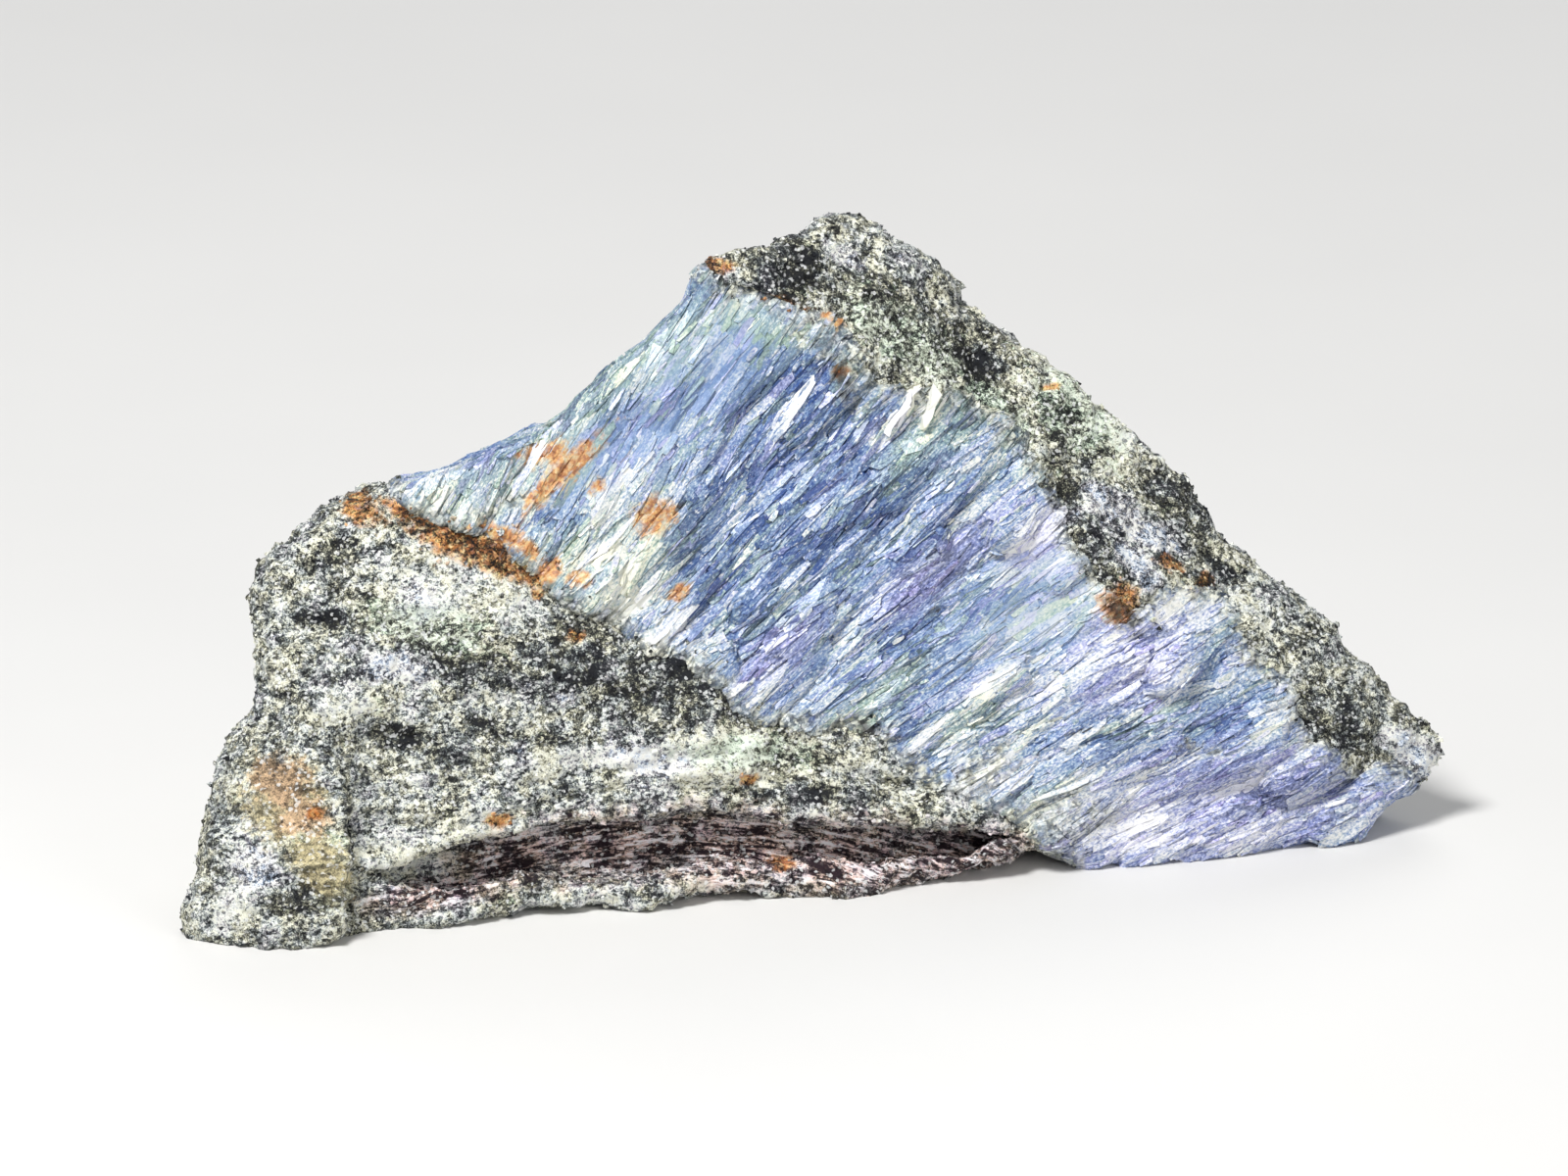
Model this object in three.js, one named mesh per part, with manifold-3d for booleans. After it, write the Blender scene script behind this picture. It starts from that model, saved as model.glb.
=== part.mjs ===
// A kyanite blade cluster in its host rock: a wedge-shaped hand specimen, 120 mm long, on its broken base.
// A vein of blue kyanite blades crosses the display side, between a lower and an upper wall of grey gneiss.
//
// Every solid is drawn on the display plane, as a shape in three.js is: X across to the thin right tip, Y up
// the plane and Z towards the viewer. The group then stands the plane up, leaning back, with +Z up and the
// base at z = 0. All sizes are in millimetres.

import * as THREE from 'three';
import { mergeVertices } from 'three/addons/utils/BufferGeometryUtils.js';
import { ConvexGeometry } from 'three/addons/geometries/ConvexGeometry.js';
import { ImprovedNoise } from 'three/addons/math/ImprovedNoise.js';
import Module from 'manifold-3d';

const wasm = await Module();
wasm.setup();

// Driving dimensions

const LEAN = THREE.MathUtils.degToRad(20); // how far the display plane leans back from upright
const BASE_LEVEL = 4.4; // height of the base over the display plane's zero line
const SEAM_GAP = 0.4; // clear space between the vein and each wall
const VEIN_RECESS = 0.8; // how far the vein's face lies behind the gneiss
const EDGE_DROP = 2.2; // how far the outline lies behind the front face
const RAYS = 96; // points along the outline
const FAR = 200; // larger than the specimen, for cutting tools

// Broken lumps: spacing and height, from large to small
const LUMPS = [
  { spacing: 9, height: 1.6 },
  { spacing: 4, height: 0.9 },
];
const LUMP_SHIFTS = [31, 57]; // where the sideways noises start, so that no two pushes are alike

// Outline of the display side, [across, up]: up from the left foot, over the crest to the right tip, and back
const OUTLINE = [
  [-59.3, 0.5], [-60.2, 5.2], [-58.4, 11.7], [-56.1, 19.2], [-53.1, 26.3], [-52.5, 29.5], [-54.0, 34.7],
  [-50.4, 38.9], [-49.5, 41.4], [-44.6, 44.4], [-38.7, 44.3], [-29.8, 48.0], [-24.2, 50.8], [-18.6, 55.8],
  [-15.6, 60.0], [-11.8, 64.5], [-9.7, 66.0], [-5.9, 66.2], [-2.8, 68.9], [2.1, 70.4], [6.8, 67.8],
  [11.4, 64.9], [16.1, 60.0], [23.6, 55.1], [30.7, 47.6], [37.2, 41.3], [47.1, 31.4], [56.4, 23.4],
  [59.9, 19.5], [58.8, 17.3], [53.6, 14.3], [51.3, 10.3], [41.4, 8.4], [29.3, 7.3], [25.5, 7.7],
  [18.9, 9.6], [11.4, 6.6], [3.0, 4.9], [-3.6, 5.2], [-9.7, 6.1], [-18.6, 4.1], [-23.3, 3.8],
  [-27.5, 5.2], [-35.9, 2.6], [-46.7, 0.9], [-56.5, -0.2],
];
const POLE = [0, 25]; // a point inside, from which the whole outline can be seen

// Rings of the lump, by their size beside the outline, and behind the outline also by their depth
const FRONT_RINGS = [0.12, 0.26, 0.4, 0.53, 0.64, 0.74, 0.83, 0.9, 0.95, 0.985];
const BACK_RINGS = [
  { share: 1, depth: 5 }, { share: 0.995, depth: 10 }, { share: 0.985, depth: 15 },
  { share: 0.97, depth: 21 }, { share: 0.95, depth: 28 }, { share: 0.92, depth: 36 },
  { share: 0.88, depth: 60 },
];

// Front: one broad face, with bevels that fall away past a line: direction, distance from the origin, slope
const FACE_TURN = 0.2; // the left end comes nearer the viewer
const FACE_TILT = 0.04;
const FACE_LEVEL = 30; // height at which the face meets the display plane
const BEVELS = [
  { place: 'upper rim', across: 0.667, up: 0.745, start: 45, slope: 0.45 },
  { place: 'right foot', across: 0.35, up: -0.94, start: -4, slope: 0.3 },
  { place: 'left shoulder', across: -0.86, up: 0.5, start: 54, slope: 0.5 },
];

// Flat breaks that shape the back and the ends: the way each one faces, and its distance from the origin
const BREAKS = [
  { place: 'back, left half', faces: [-0.3, 0.567, -1], distance: 38.5 },
  { place: 'back, right half', faces: [0.3, 0.5, -1], distance: 39.5 },
  { place: 'back, middle', faces: [0.02, 0.3, -0.95], distance: 36.5 },
  { place: 'back, low left', faces: [-0.5, -0.2, -0.85], distance: 41 },
  { place: 'back, low right', faces: [0.3, 0.1, -0.95], distance: 39 },
  { place: 'heel', faces: [0.1, -0.35, -0.93], distance: 28.5 },
  { place: 'behind the crest', faces: [0.15, 0.75, -0.65], distance: 58.5 },
  { place: 'behind the scoop', faces: [-0.5, 0.65, -0.57], distance: 54 },
  { place: 'left end', faces: [-0.9, 0.1, -0.42], distance: 58 },
  { place: 'left heel', faces: [-0.72, -0.45, -0.52], distance: 43 },
  { place: 'right tip', faces: [0.8, 0.25, -0.55], distance: 62.3 },
];

// Borders of the vein on the display side, carried past the outline at both ends
const LOWER_BORDER = [
  [-43.5, 47.5], [-40.2, 43.2], [-37.2, 41.2], [-32.0, 40.2], [-28.6, 37.0], [-25.4, 34.4], [-20.0, 31.4],
  [-17.2, 29.0], [-12.5, 27.6], [-8.8, 24.0], [-6.2, 22.0], [-1.0, 21.2], [5.0, 20.6], [8.2, 17.2],
  [14.0, 14.2], [19.0, 11.6], [23.5, 9.6], [26.5, 2.0],
];
const UPPER_BORDER = [
  [-14.6, 69.0], [-11.2, 64.4], [-6.0, 62.6], [-2.8, 61.2], [1.6, 59.6], [2.6, 56.6], [4.6, 53.4],
  [11.8, 53.6], [16.6, 51.2], [19.2, 47.4], [21.8, 42.4], [26.0, 35.4], [28.6, 32.0], [32.0, 34.8],
  [37.4, 34.4], [39.6, 29.4], [43.8, 25.2], [45.4, 20.8], [49.2, 17.8], [57.5, 16.8], [63.0, 16.0],
];
const PAST_LOWER_RIGHT = [[45, -12], [70, 0]];
const PAST_UPPER_LEFT = [[-45, 70]];
const VEIN_NEAR = 40; // the vein's space reaches this far in front of the display plane
const VEIN_DEEP = 70; // and this far behind it
const VEIN_DIP = { across: 0.22, up: -0.12 }; // shift for each millimetre deeper
const DIP_START = -12; // the vein runs straight in to this depth, then dips
const DIP_STEPS = 8;

// Groove under the ledge along the base: its upper edge is the ledge's lip
const GROOVE_TOP = [
  [-45.0, 7.4], [-38.3, 9.6], [-33.6, 11.4], [-26.0, 12.5], [-18.6, 13.4], [-9.2, 13.9], [-3.6, 12.8],
  [3.9, 12.3], [11.4, 12.1], [19.5, 11.0],
];
const GROOVE_BOTTOM = [
  [13.5, 9.0], [3.5, 7.6], [-9.5, 8.6], [-18.0, 6.8], [-24.0, 6.4], [-28.5, 7.2], [-36.0, 5.2],
];
const GROOVE_DEPTH = 4.5; // below the face

// Left foot: a lump that stands nearer than the rest, by its corners [across, up, towards the viewer]
const FOOT_CORNERS = [
  [-46.2, 18.2, 11.2], [-45.4, 8.6, 12.6], [-46.0, 2.4, 11.4], [-52.5, 20.4, 10.4], [-56.6, 18.0, 8.6],
  [-59.6, 7.5, 10.2], [-59.8, 2.4, 9.6], [-53.5, 6.5, 13.2], [-53.0, -1.2, 11.6], [-57.5, -1.0, 10.4],
  [-47.5, 14.0, 2.0], [-58.6, 10.0, 0.0], [-48.0, 0.0, 0.0], [-58.4, -2.0, 0.0], [-54.5, 20.5, 1.0],
];

// Blades of the vein that stand clear of its face
const BLADE_FIELD = { across: [-42, 58], up: [4, 66] };
const BLADE_SPACING = 8.2;
const BLADE_LENGTH = [10, 22];
const BLADE_WIDTH = [1.8, 3.8];
const BLADE_THICKNESS = 2.4; // most of it is buried
const BLADE_PROUD = [0.35, 1.1];
const BLADE_TILT = 5; // degrees, the most that a blade rises out of the face
const BLADE_SCATTER = 2; // how far a blade turns from its neighbours for each degree of tilt
const BLADE_SLANT = [0.3, 1.2]; // length of a slanted end beside the blade's width
const BLADE_ANGLE = 52; // degrees above the X axis at the vein's upper end
const BLADE_FAN = 0.29; // degrees that the blades turn for each millimetre down the vein
const FAN_START = { across: -8, up: 55 };
const BLADE_SEED = 11;

// Finishes
const FINISHES = {
  lower_gneiss: { color: 0x8d8f88, roughness: 0.8, metalness: 0 },
  upper_gneiss: { color: 0x85877f, roughness: 0.8, metalness: 0 },
  kyanite_blades: { color: 0x7f97c9, roughness: 0.45, metalness: 0 },
};

const noise = new ImprovedNoise();

// Solids

function solidOf(geometry) {
  const bare = geometry.clone();
  bare.deleteAttribute('normal');
  bare.deleteAttribute('uv');
  const merged = mergeVertices(bare);
  return new wasm.Manifold(new wasm.Mesh({
    numProp: 3,
    vertProperties: new Float32Array(merged.attributes.position.array),
    triVerts: new Uint32Array(merged.index.array),
  }));
}

function geometryOf(solid) {
  const mesh = solid.getMesh();
  const geometry = new THREE.BufferGeometry();
  geometry.setAttribute('position', new THREE.BufferAttribute(mesh.vertProperties, 3));
  geometry.setIndex(new THREE.BufferAttribute(mesh.triVerts, 1));
  geometry.computeVertexNormals();
  return geometry;
}

function extruded(points, depth, steps = 1) {
  const shape = new THREE.Shape(points.map(([x, y]) => new THREE.Vector2(x, y)));
  return new THREE.ExtrudeGeometry(shape, { depth, steps, bevelEnabled: false });
}

// Changes each vertex of a geometry in place
function reshape(geometry, change) {
  const position = geometry.attributes.position;
  const point = new THREE.Vector3();
  for (let i = 0; i < position.count; i++) {
    change(point.fromBufferAttribute(position, i));
    position.setXYZ(i, point.x, point.y, point.z);
  }
  return geometry;
}

// The half of space past a flat face
function past(faces, distance) {
  const outward = new THREE.Vector3(...faces).normalize();
  const geometry = new THREE.BoxGeometry(FAR, FAR, FAR).translate(0, 0, FAR / 2);
  geometry.applyQuaternion(new THREE.Quaternion().setFromUnitVectors(new THREE.Vector3(0, 0, 1), outward));
  return solidOf(geometry.translate(...outward.multiplyScalar(distance)));
}

// The rock as one lump

function frontAt(across, up) {
  let height = -FACE_TURN * across + FACE_TILT * (up - FACE_LEVEL);
  for (const bevel of BEVELS) {
    height -= bevel.slope * Math.max(0, bevel.across * across + bevel.up * up - bevel.start);
  }
  return height;
}

function roughen(point) {
  const start = point.clone();
  for (const { spacing, height } of LUMPS) {
    const { x, y, z } = start.clone().divideScalar(spacing);
    const outward = noise.noise(x, y, z);
    const upward = noise.noise(y + LUMP_SHIFTS[0], z, x);
    const forward = noise.noise(z, x + LUMP_SHIFTS[1], y);
    point.addScaledVector(new THREE.Vector3(outward, upward, forward), height);
  }
}

// Points spaced evenly along a closed outline
function spaced(outline, count) {
  const corners = outline.map(([x, y]) => new THREE.Vector3(x, y, 0));
  const path = new THREE.CurvePath();
  corners.forEach((corner, i) => path.add(new THREE.LineCurve3(corner, corners[(i + 1) % corners.length])));
  return path.getSpacedPoints(count).slice(0, count);
}

function lumpGeometry(recess) {
  const outline = spaced(OUTLINE, RAYS);
  const pole = new THREE.Vector3(...POLE, 0);
  const ring = (share, heightAt) => outline.map((rim) => {
    const point = pole.clone().lerp(rim, share);
    return point.setZ(heightAt(point));
  });
  const front = (point) => frontAt(point.x, point.y) - recess;
  const edge = (point) => frontAt(point.x, point.y) - EDGE_DROP;
  const rings = [
    ...FRONT_RINGS.map((share) => ring(share, front)),
    ring(1, edge),
    ...BACK_RINGS.map(({ share, depth }) => ring(share, (point) => edge(point) - depth)),
  ];
  const points = [pole.clone().setZ(front(pole)), ...rings.flat(), pole.clone().setZ(-FAR / 2)];
  points.forEach(roughen);

  const first = 0;
  const last = points.length - 1;
  const at = (level, ray) => 1 + level * RAYS + (ray % RAYS);
  const triangles = [];
  for (let ray = 0; ray < RAYS; ray++) {
    triangles.push(first, at(0, ray + 1), at(0, ray));
    for (let level = 0; level + 1 < rings.length; level++) {
      triangles.push(at(level, ray), at(level, ray + 1), at(level + 1, ray + 1));
      triangles.push(at(level, ray), at(level + 1, ray + 1), at(level + 1, ray));
    }
    triangles.push(last, at(rings.length - 1, ray), at(rings.length - 1, ray + 1));
  }
  const geometry = new THREE.BufferGeometry().setFromPoints(points);
  geometry.setIndex(triangles);
  return geometry;
}

// What is broken off the lump: everything past the flat breaks, and everything below the base
function brokenOff() {
  const below = past([0, -Math.cos(LEAN), -Math.sin(LEAN)], -BASE_LEVEL);
  return BREAKS.reduce((sum, { faces, distance }) => sum.add(past(faces, distance)), below);
}

function grooveSolid() {
  const geometry = extruded([...GROOVE_TOP, ...GROOVE_BOTTOM], FAR);
  return solidOf(reshape(geometry, (point) => {
    point.z += frontAt(point.x, point.y) - GROOVE_DEPTH;
  }));
}

function footSolid() {
  return solidOf(new ConvexGeometry(FOOT_CORNERS.map((corner) => new THREE.Vector3(...corner))));
}

// The vein

// Moves the points of a border sideways, to the left of its direction
function shifted(border, distance) {
  return border.map(([x, y], i) => {
    const before = new THREE.Vector2(...border[Math.max(0, i - 1)]);
    const after = new THREE.Vector2(...border[Math.min(border.length - 1, i + 1)]);
    const along = after.sub(before).normalize();
    return [x - along.y * distance, y + along.x * distance];
  });
}

// The space between the two borders, wider by grow on each side
function veinSpace(grow) {
  const lower = shifted(LOWER_BORDER, -grow);
  const upper = shifted(UPPER_BORDER, grow);
  const corners = [...lower, ...PAST_LOWER_RIGHT, ...upper.toReversed(), ...PAST_UPPER_LEFT];
  const geometry = extruded(corners, VEIN_NEAR + VEIN_DEEP, DIP_STEPS).translate(0, 0, -VEIN_DEEP);
  return solidOf(reshape(geometry, (point) => {
    const dip = Math.max(0, DIP_START - point.z);
    point.x += VEIN_DIP.across * dip;
    point.y += VEIN_DIP.up * dip;
  }));
}

function between([low, high]) {
  return THREE.MathUtils.lerp(low, high, THREE.MathUtils.seededRandom());
}

// A flat lath with slanted ends, its top at z = 0
function bladeGeometry(length, width) {
  const end = length / 2;
  const side = width / 2;
  const slant = width * between(BLADE_SLANT);
  const lath = [
    [-end, -0.4 * side], [-end + slant, -side], [end - 0.6 * slant, -side],
    [end, 0.3 * side], [end - slant, side], [-end + 0.5 * slant, side],
  ];
  return extruded(lath, BLADE_THICKNESS).translate(0, 0, -BLADE_THICKNESS);
}

function bladeAngleAt(across, up) {
  const downVein = (across - FAN_START.across) + (FAN_START.up - up);
  return THREE.MathUtils.degToRad(BLADE_ANGLE - BLADE_FAN * downVein);
}

function faceNormalAt(across, up) {
  const step = 0.5;
  const run = frontAt(across + step, up) - frontAt(across - step, up);
  const rise = frontAt(across, up + step) - frontAt(across, up - step);
  return new THREE.Vector3(-run, -rise, 2 * step).normalize();
}

function bladeSolid(across, up) {
  const geometry = bladeGeometry(between(BLADE_LENGTH), between(BLADE_WIDTH));
  const tilt = THREE.MathUtils.degToRad(between([-BLADE_TILT, BLADE_TILT]));
  geometry.rotateY(tilt);
  geometry.rotateZ(bladeAngleAt(across, up) + BLADE_SCATTER * tilt);
  geometry.applyQuaternion(new THREE.Quaternion().setFromUnitVectors(
    new THREE.Vector3(0, 0, 1), faceNormalAt(across, up)));
  const top = frontAt(across, up) - VEIN_RECESS + between(BLADE_PROUD);
  return solidOf(geometry.translate(across, up, top));
}

function blades() {
  THREE.MathUtils.seededRandom(BLADE_SEED);
  const solids = [];
  const jitter = [-BLADE_SPACING / 2, BLADE_SPACING / 2];
  for (let across = BLADE_FIELD.across[0]; across < BLADE_FIELD.across[1]; across += BLADE_SPACING) {
    for (let up = BLADE_FIELD.up[0]; up < BLADE_FIELD.up[1]; up += BLADE_SPACING) {
      solids.push(bladeSolid(across + between(jitter), up + between(jitter)));
    }
  }
  return solids;
}

function veinSolid() {
  const face = solidOf(lumpGeometry(VEIN_RECESS));
  const reach = solidOf(lumpGeometry(-BLADE_PROUD[1]));
  return blades().reduce((sum, blade) => sum.add(blade), face).intersect(reach).intersect(veinSpace(0));
}

// Assembly

function piece(name, solid) {
  const mesh = new THREE.Mesh(geometryOf(solid), new THREE.MeshStandardMaterial(FINISHES[name]));
  mesh.name = name;
  return mesh;
}

const broken = brokenOff();
const rock = solidOf(lumpGeometry(0)).subtract(grooveSolid()).add(footSolid()).subtract(broken);
const walls = rock.subtract(veinSpace(SEAM_GAP)).decompose();
const [lowerWall, upperWall] = walls.sort((a, b) => b.volume() - a.volume());

const specimen = new THREE.Group();
specimen.add(piece('lower_gneiss', lowerWall));
specimen.add(piece('upper_gneiss', upperWall));
specimen.add(piece('kyanite_blades', veinSolid().subtract(broken)));
specimen.rotation.x = Math.PI / 2 - LEAN;

// The frame's origin is the middle of the base
specimen.updateMatrixWorld(true);
const box = new THREE.Box3().setFromObject(specimen, true);
const middle = box.getCenter(new THREE.Vector3());
specimen.position.set(-middle.x, -middle.y, -box.min.z);

export default specimen;
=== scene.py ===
"""Looks of a kyanite blade cluster: blue blades in a vein between two walls of speckled gneiss.

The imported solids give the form. Each one is copied as an even mesh and given its broken relief, then the
vein gets its fine blades and the walls their grains. Marks on the display side are placed on the display
plane: across to the right, up the plane, and towards the viewer, in millimetres.
"""

import math
import random

import bmesh
import bpy
import numpy as np
from bpy.props import FloatProperty, FloatVectorProperty, IntProperty, PointerProperty
from mathutils import Matrix, Vector, noise
from mathutils.bvhtree import BVHTree


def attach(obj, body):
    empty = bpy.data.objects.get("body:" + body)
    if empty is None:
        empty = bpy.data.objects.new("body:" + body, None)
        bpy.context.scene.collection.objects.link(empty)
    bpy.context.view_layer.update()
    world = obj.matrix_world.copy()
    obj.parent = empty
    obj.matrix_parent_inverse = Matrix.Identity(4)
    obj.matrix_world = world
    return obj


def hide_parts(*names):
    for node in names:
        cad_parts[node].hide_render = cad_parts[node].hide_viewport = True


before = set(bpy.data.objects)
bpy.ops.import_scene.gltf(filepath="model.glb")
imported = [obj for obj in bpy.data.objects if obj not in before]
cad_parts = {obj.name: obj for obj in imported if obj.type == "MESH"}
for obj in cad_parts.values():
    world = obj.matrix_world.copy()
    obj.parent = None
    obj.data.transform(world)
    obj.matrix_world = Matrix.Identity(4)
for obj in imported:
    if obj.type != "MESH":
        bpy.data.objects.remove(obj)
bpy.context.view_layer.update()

bl_info = {
    "name": "Kyanite Blade Cluster",
    "version": (1, 0, 0),
    "blender": (4, 5, 0),
    "location": "View3D > Sidebar > Mineral",
    "description": "Builds the gneiss walls, the kyanite vein and its blades around the packed solids",
    "category": "Add Mesh",
}

MM = 0.001

# The display plane

LEAN = math.radians(20)
DISPLAY_ORIGIN = Vector((0.579, -13.191, -4.4)) * MM
DISPLAY_TURN = Matrix.Rotation(math.pi / 2 - LEAN, 3, "X")
DISPLAY = Matrix.Translation(DISPLAY_ORIGIN) @ DISPLAY_TURN.to_4x4()
FACE_TURN = 0.2  # how far the broad front face falls back for each millimetre to the right
# The bevelled upper rim: its direction on the plane, how far along that it starts, and its slope
RIM_BEVEL = {"across": 0.667, "up": 0.745, "start": 45.0, "slope": 0.45}
FAN_CENTRE = (-82.0, -39.0)  # the blades point away from here
FAN_RADIUS = 110.0  # where an angle of the fan counts as its length
# Turn of each wall's layers in degrees, and how high they arch
LAYERS = {"lower_gneiss": (0.0, 6.0), "upper_gneiss": (-42.0, 0.0)}
ARCH_MIDDLE, ARCH_REACH = -13.0, 26.0

# Marks on the display side: across, up, half length, half width, turn in degrees

KYANITE_MARKS = {
    "deep": [
        (-11.5, 43.0, 3.4, 1.5, 48), (-11.3, 38.6, 4.4, 2.0, 46), (3.5, 38.4, 5.0, 2.4, 43),
        (-3.5, 37.0, 9.0, 4.5, 40), (1.5, 47.0, 6.0, 1.8, 48), (-8.0, 51.3, 1.7, 1.0, 50),
        (-2.9, 47.8, 3.2, 1.0, 52), (8.0, 30.0, 5.0, 1.5, 40), (10.0, 40.5, 5.0, 1.4, 42),
        (-4.5, 53.5, 4.0, 1.0, 45), (0.0, 51.5, 4.0, 1.2, 46),
    ],
    "pale": [
        # The second and third pale marks lie on the white cleavage faces and add to their painted
        # reflection.
        (-21.4, 35.6, 5.5, 3.2, 40), (7.1, 51.6, 3.0, 1.5, 50), (9.8, 51.5, 2.4, 0.8, 62),
        (17.0, 25.3, 5.0, 2.6, 40), (20.5, 31.5, 6.0, 3.4, 38), (37.7, 13.1, 15.0, 5.0, 8),
        (13.0, 43.0, 6.0, 1.8, 42), (17.0, 38.0, 7.0, 2.4, 42), (27.0, 29.0, 7.0, 3.6, 36),
        (34.0, 31.0, 5.0, 3.0, 25), (30.0, 26.0, 5.0, 2.0, 30), (19.0, 15.0, 6.5, 3.2, 25),
        (-20.0, 44.0, 5.0, 1.6, 46), (-14.5, 30.5, 4.0, 1.2, 42), (44.0, 23.0, 4.0, 2.5, 20),
    ],
    "dim": [  # a little darker than usual
        (-14.0, 54.0, 8.0, 4.5, 50), (9.0, 46.5, 6.0, 3.0, 44), (16.0, 41.5, 6.0, 3.0, 44),
        (-8.0, 45.0, 6.0, 3.0, 46), (-3.0, 55.5, 6.0, 4.0, 42), (-15.5, 57.5, 6.0, 2.6, 52),
        (-9.5, 59.5, 6.0, 2.5, 35), (-1.8, 52.2, 4.0, 2.2, 50), (43.0, 14.5, 6.0, 2.0, 22),
        (33.0, 16.0, 4.0, 1.4, 25),
    ],
    "teal": [
        (-23.0, 52.0, 15.0, 1.8, 44), (28.0, 38.0, 5.0, 2.0, -60), (-6.0, 60.0, 5.0, 1.4, -20),
        (13.8, 22.5, 4.0, 1.5, 44), (24.8, 32.5, 2.2, 0.9, 80), (-22.0, 36.0, 9.0, 4.6, 35),
        (1.8, 57.0, 4.0, 1.5, -40), (19.0, 48.5, 4.0, 1.2, -60), (12.0, 51.0, 7.0, 3.0, 46),
        (-33.0, 43.5, 6.0, 2.6, 25), (-14.0, 58.0, 5.0, 1.4, 50), (5.0, 24.0, 5.0, 1.4, 42),
        (31.0, 22.0, 3.0, 1.0, 30), (21.5, 13.5, 6.0, 2.6, 15), (-36.0, 43.5, 4.0, 1.5, 20),
    ],
    "white": [
        (-7.3, 62.0, 1.4, 0.8, 20), (16.0, 25.5, 3.4, 1.2, 38), (9.5, 20.5, 3.0, 0.7, 40),
        (21.5, 31.0, 1.8, 0.9, 40), (-22.5, 37.5, 3.0, 0.9, 30), (-18.0, 33.0, 2.4, 0.7, 30),
        (31.0, 12.0, 3.0, 0.6, 14), (40.0, 15.5, 3.0, 0.6, 20), (12.5, 15.5, 2.2, 0.8, 30),
        (4.0, 49.0, 1.6, 0.5, 10),
    ],
    "lavender": [
        (37.7, 13.1, 15.0, 5.0, 8), (10.0, 36.0, 6.0, 2.0, 40), (30.0, 28.0, 5.0, 4.0, 40),
        (-4.0, 29.0, 5.0, 1.6, 42), (21.0, 40.0, 4.0, 2.0, 44),
    ],
    "calm": [  # smooth places with little contrast
        (-12.0, 56.0, 9.0, 4.5, 48), (20.0, 33.0, 7.0, 4.0, 40), (-22.0, 47.0, 5.0, 3.0, 40),
        (-16.0, 51.5, 5.0, 3.0, 48),
    ],
    "mica": [
        (3.9, 21.1, 1.3, 0.9, 0), (29.4, 31.6, 0.9, 1.5, 20), (10.7, 32.6, 0.8, 0.5, 0),
        (24.6, 21.0, 1.8, 0.25, 16), (-14.0, 42.6, 1.2, 0.4, -30), (1.6, 54.4, 1.0, 1.6, 10),
        (21.6, 43.6, 1.6, 0.5, -60), (28.4, 33.0, 1.6, 1.8, 0),
    ],
    "rocky": [  # rock between the blades
        (2.0, 20.4, 3.6, 1.0, -12), (0.5, 57.8, 4.0, 1.8, -30), (8.0, 57.0, 6.0, 2.2, -40),
        (16.5, 51.0, 5.0, 1.8, -50), (21.5, 45.0, 3.0, 1.2, -60), (-24.0, 33.5, 3.0, 1.0, -35),
        (-32.0, 42.0, 5.0, 1.2, 20), (22.0, 14.5, 3.0, 1.0, 10), (9.0, 18.0, 3.0, 0.8, -20),
        (36.0, 19.2, 3.0, 0.8, -10), (14.5, 17.0, 4.5, 2.4, 35), (22.0, 12.4, 5.5, 2.8, 10),
        (3.0, 59.0, 5.0, 1.4, -30), (28.4, 33.6, 1.8, 2.2, 0), (1.8, 54.4, 1.6, 2.8, 10),
    ],
    "rust": [
        (-26.8, 47.6, 2.6, 1.1, 10), (-24.7, 46.1, 5.4, 1.0, 43), (-21.9, 44.3, 1.0, 0.8, 40),
        (-16.1, 41.3, 2.2, 1.7, 20), (-14.1, 34.3, 1.1, 0.8, 40), (-26.3, 36.3, 1.2, 1.0, 0),
        (-23.6, 35.7, 1.1, 0.8, 0), (-30.0, 39.5, 3.0, 0.9, -30), (28.0, 33.0, 1.8, 1.8, 0),
        (0.8, 60.4, 1.6, 0.5, -30), (1.4, 55.4, 0.6, 0.5, 0),
    ],
}
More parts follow.
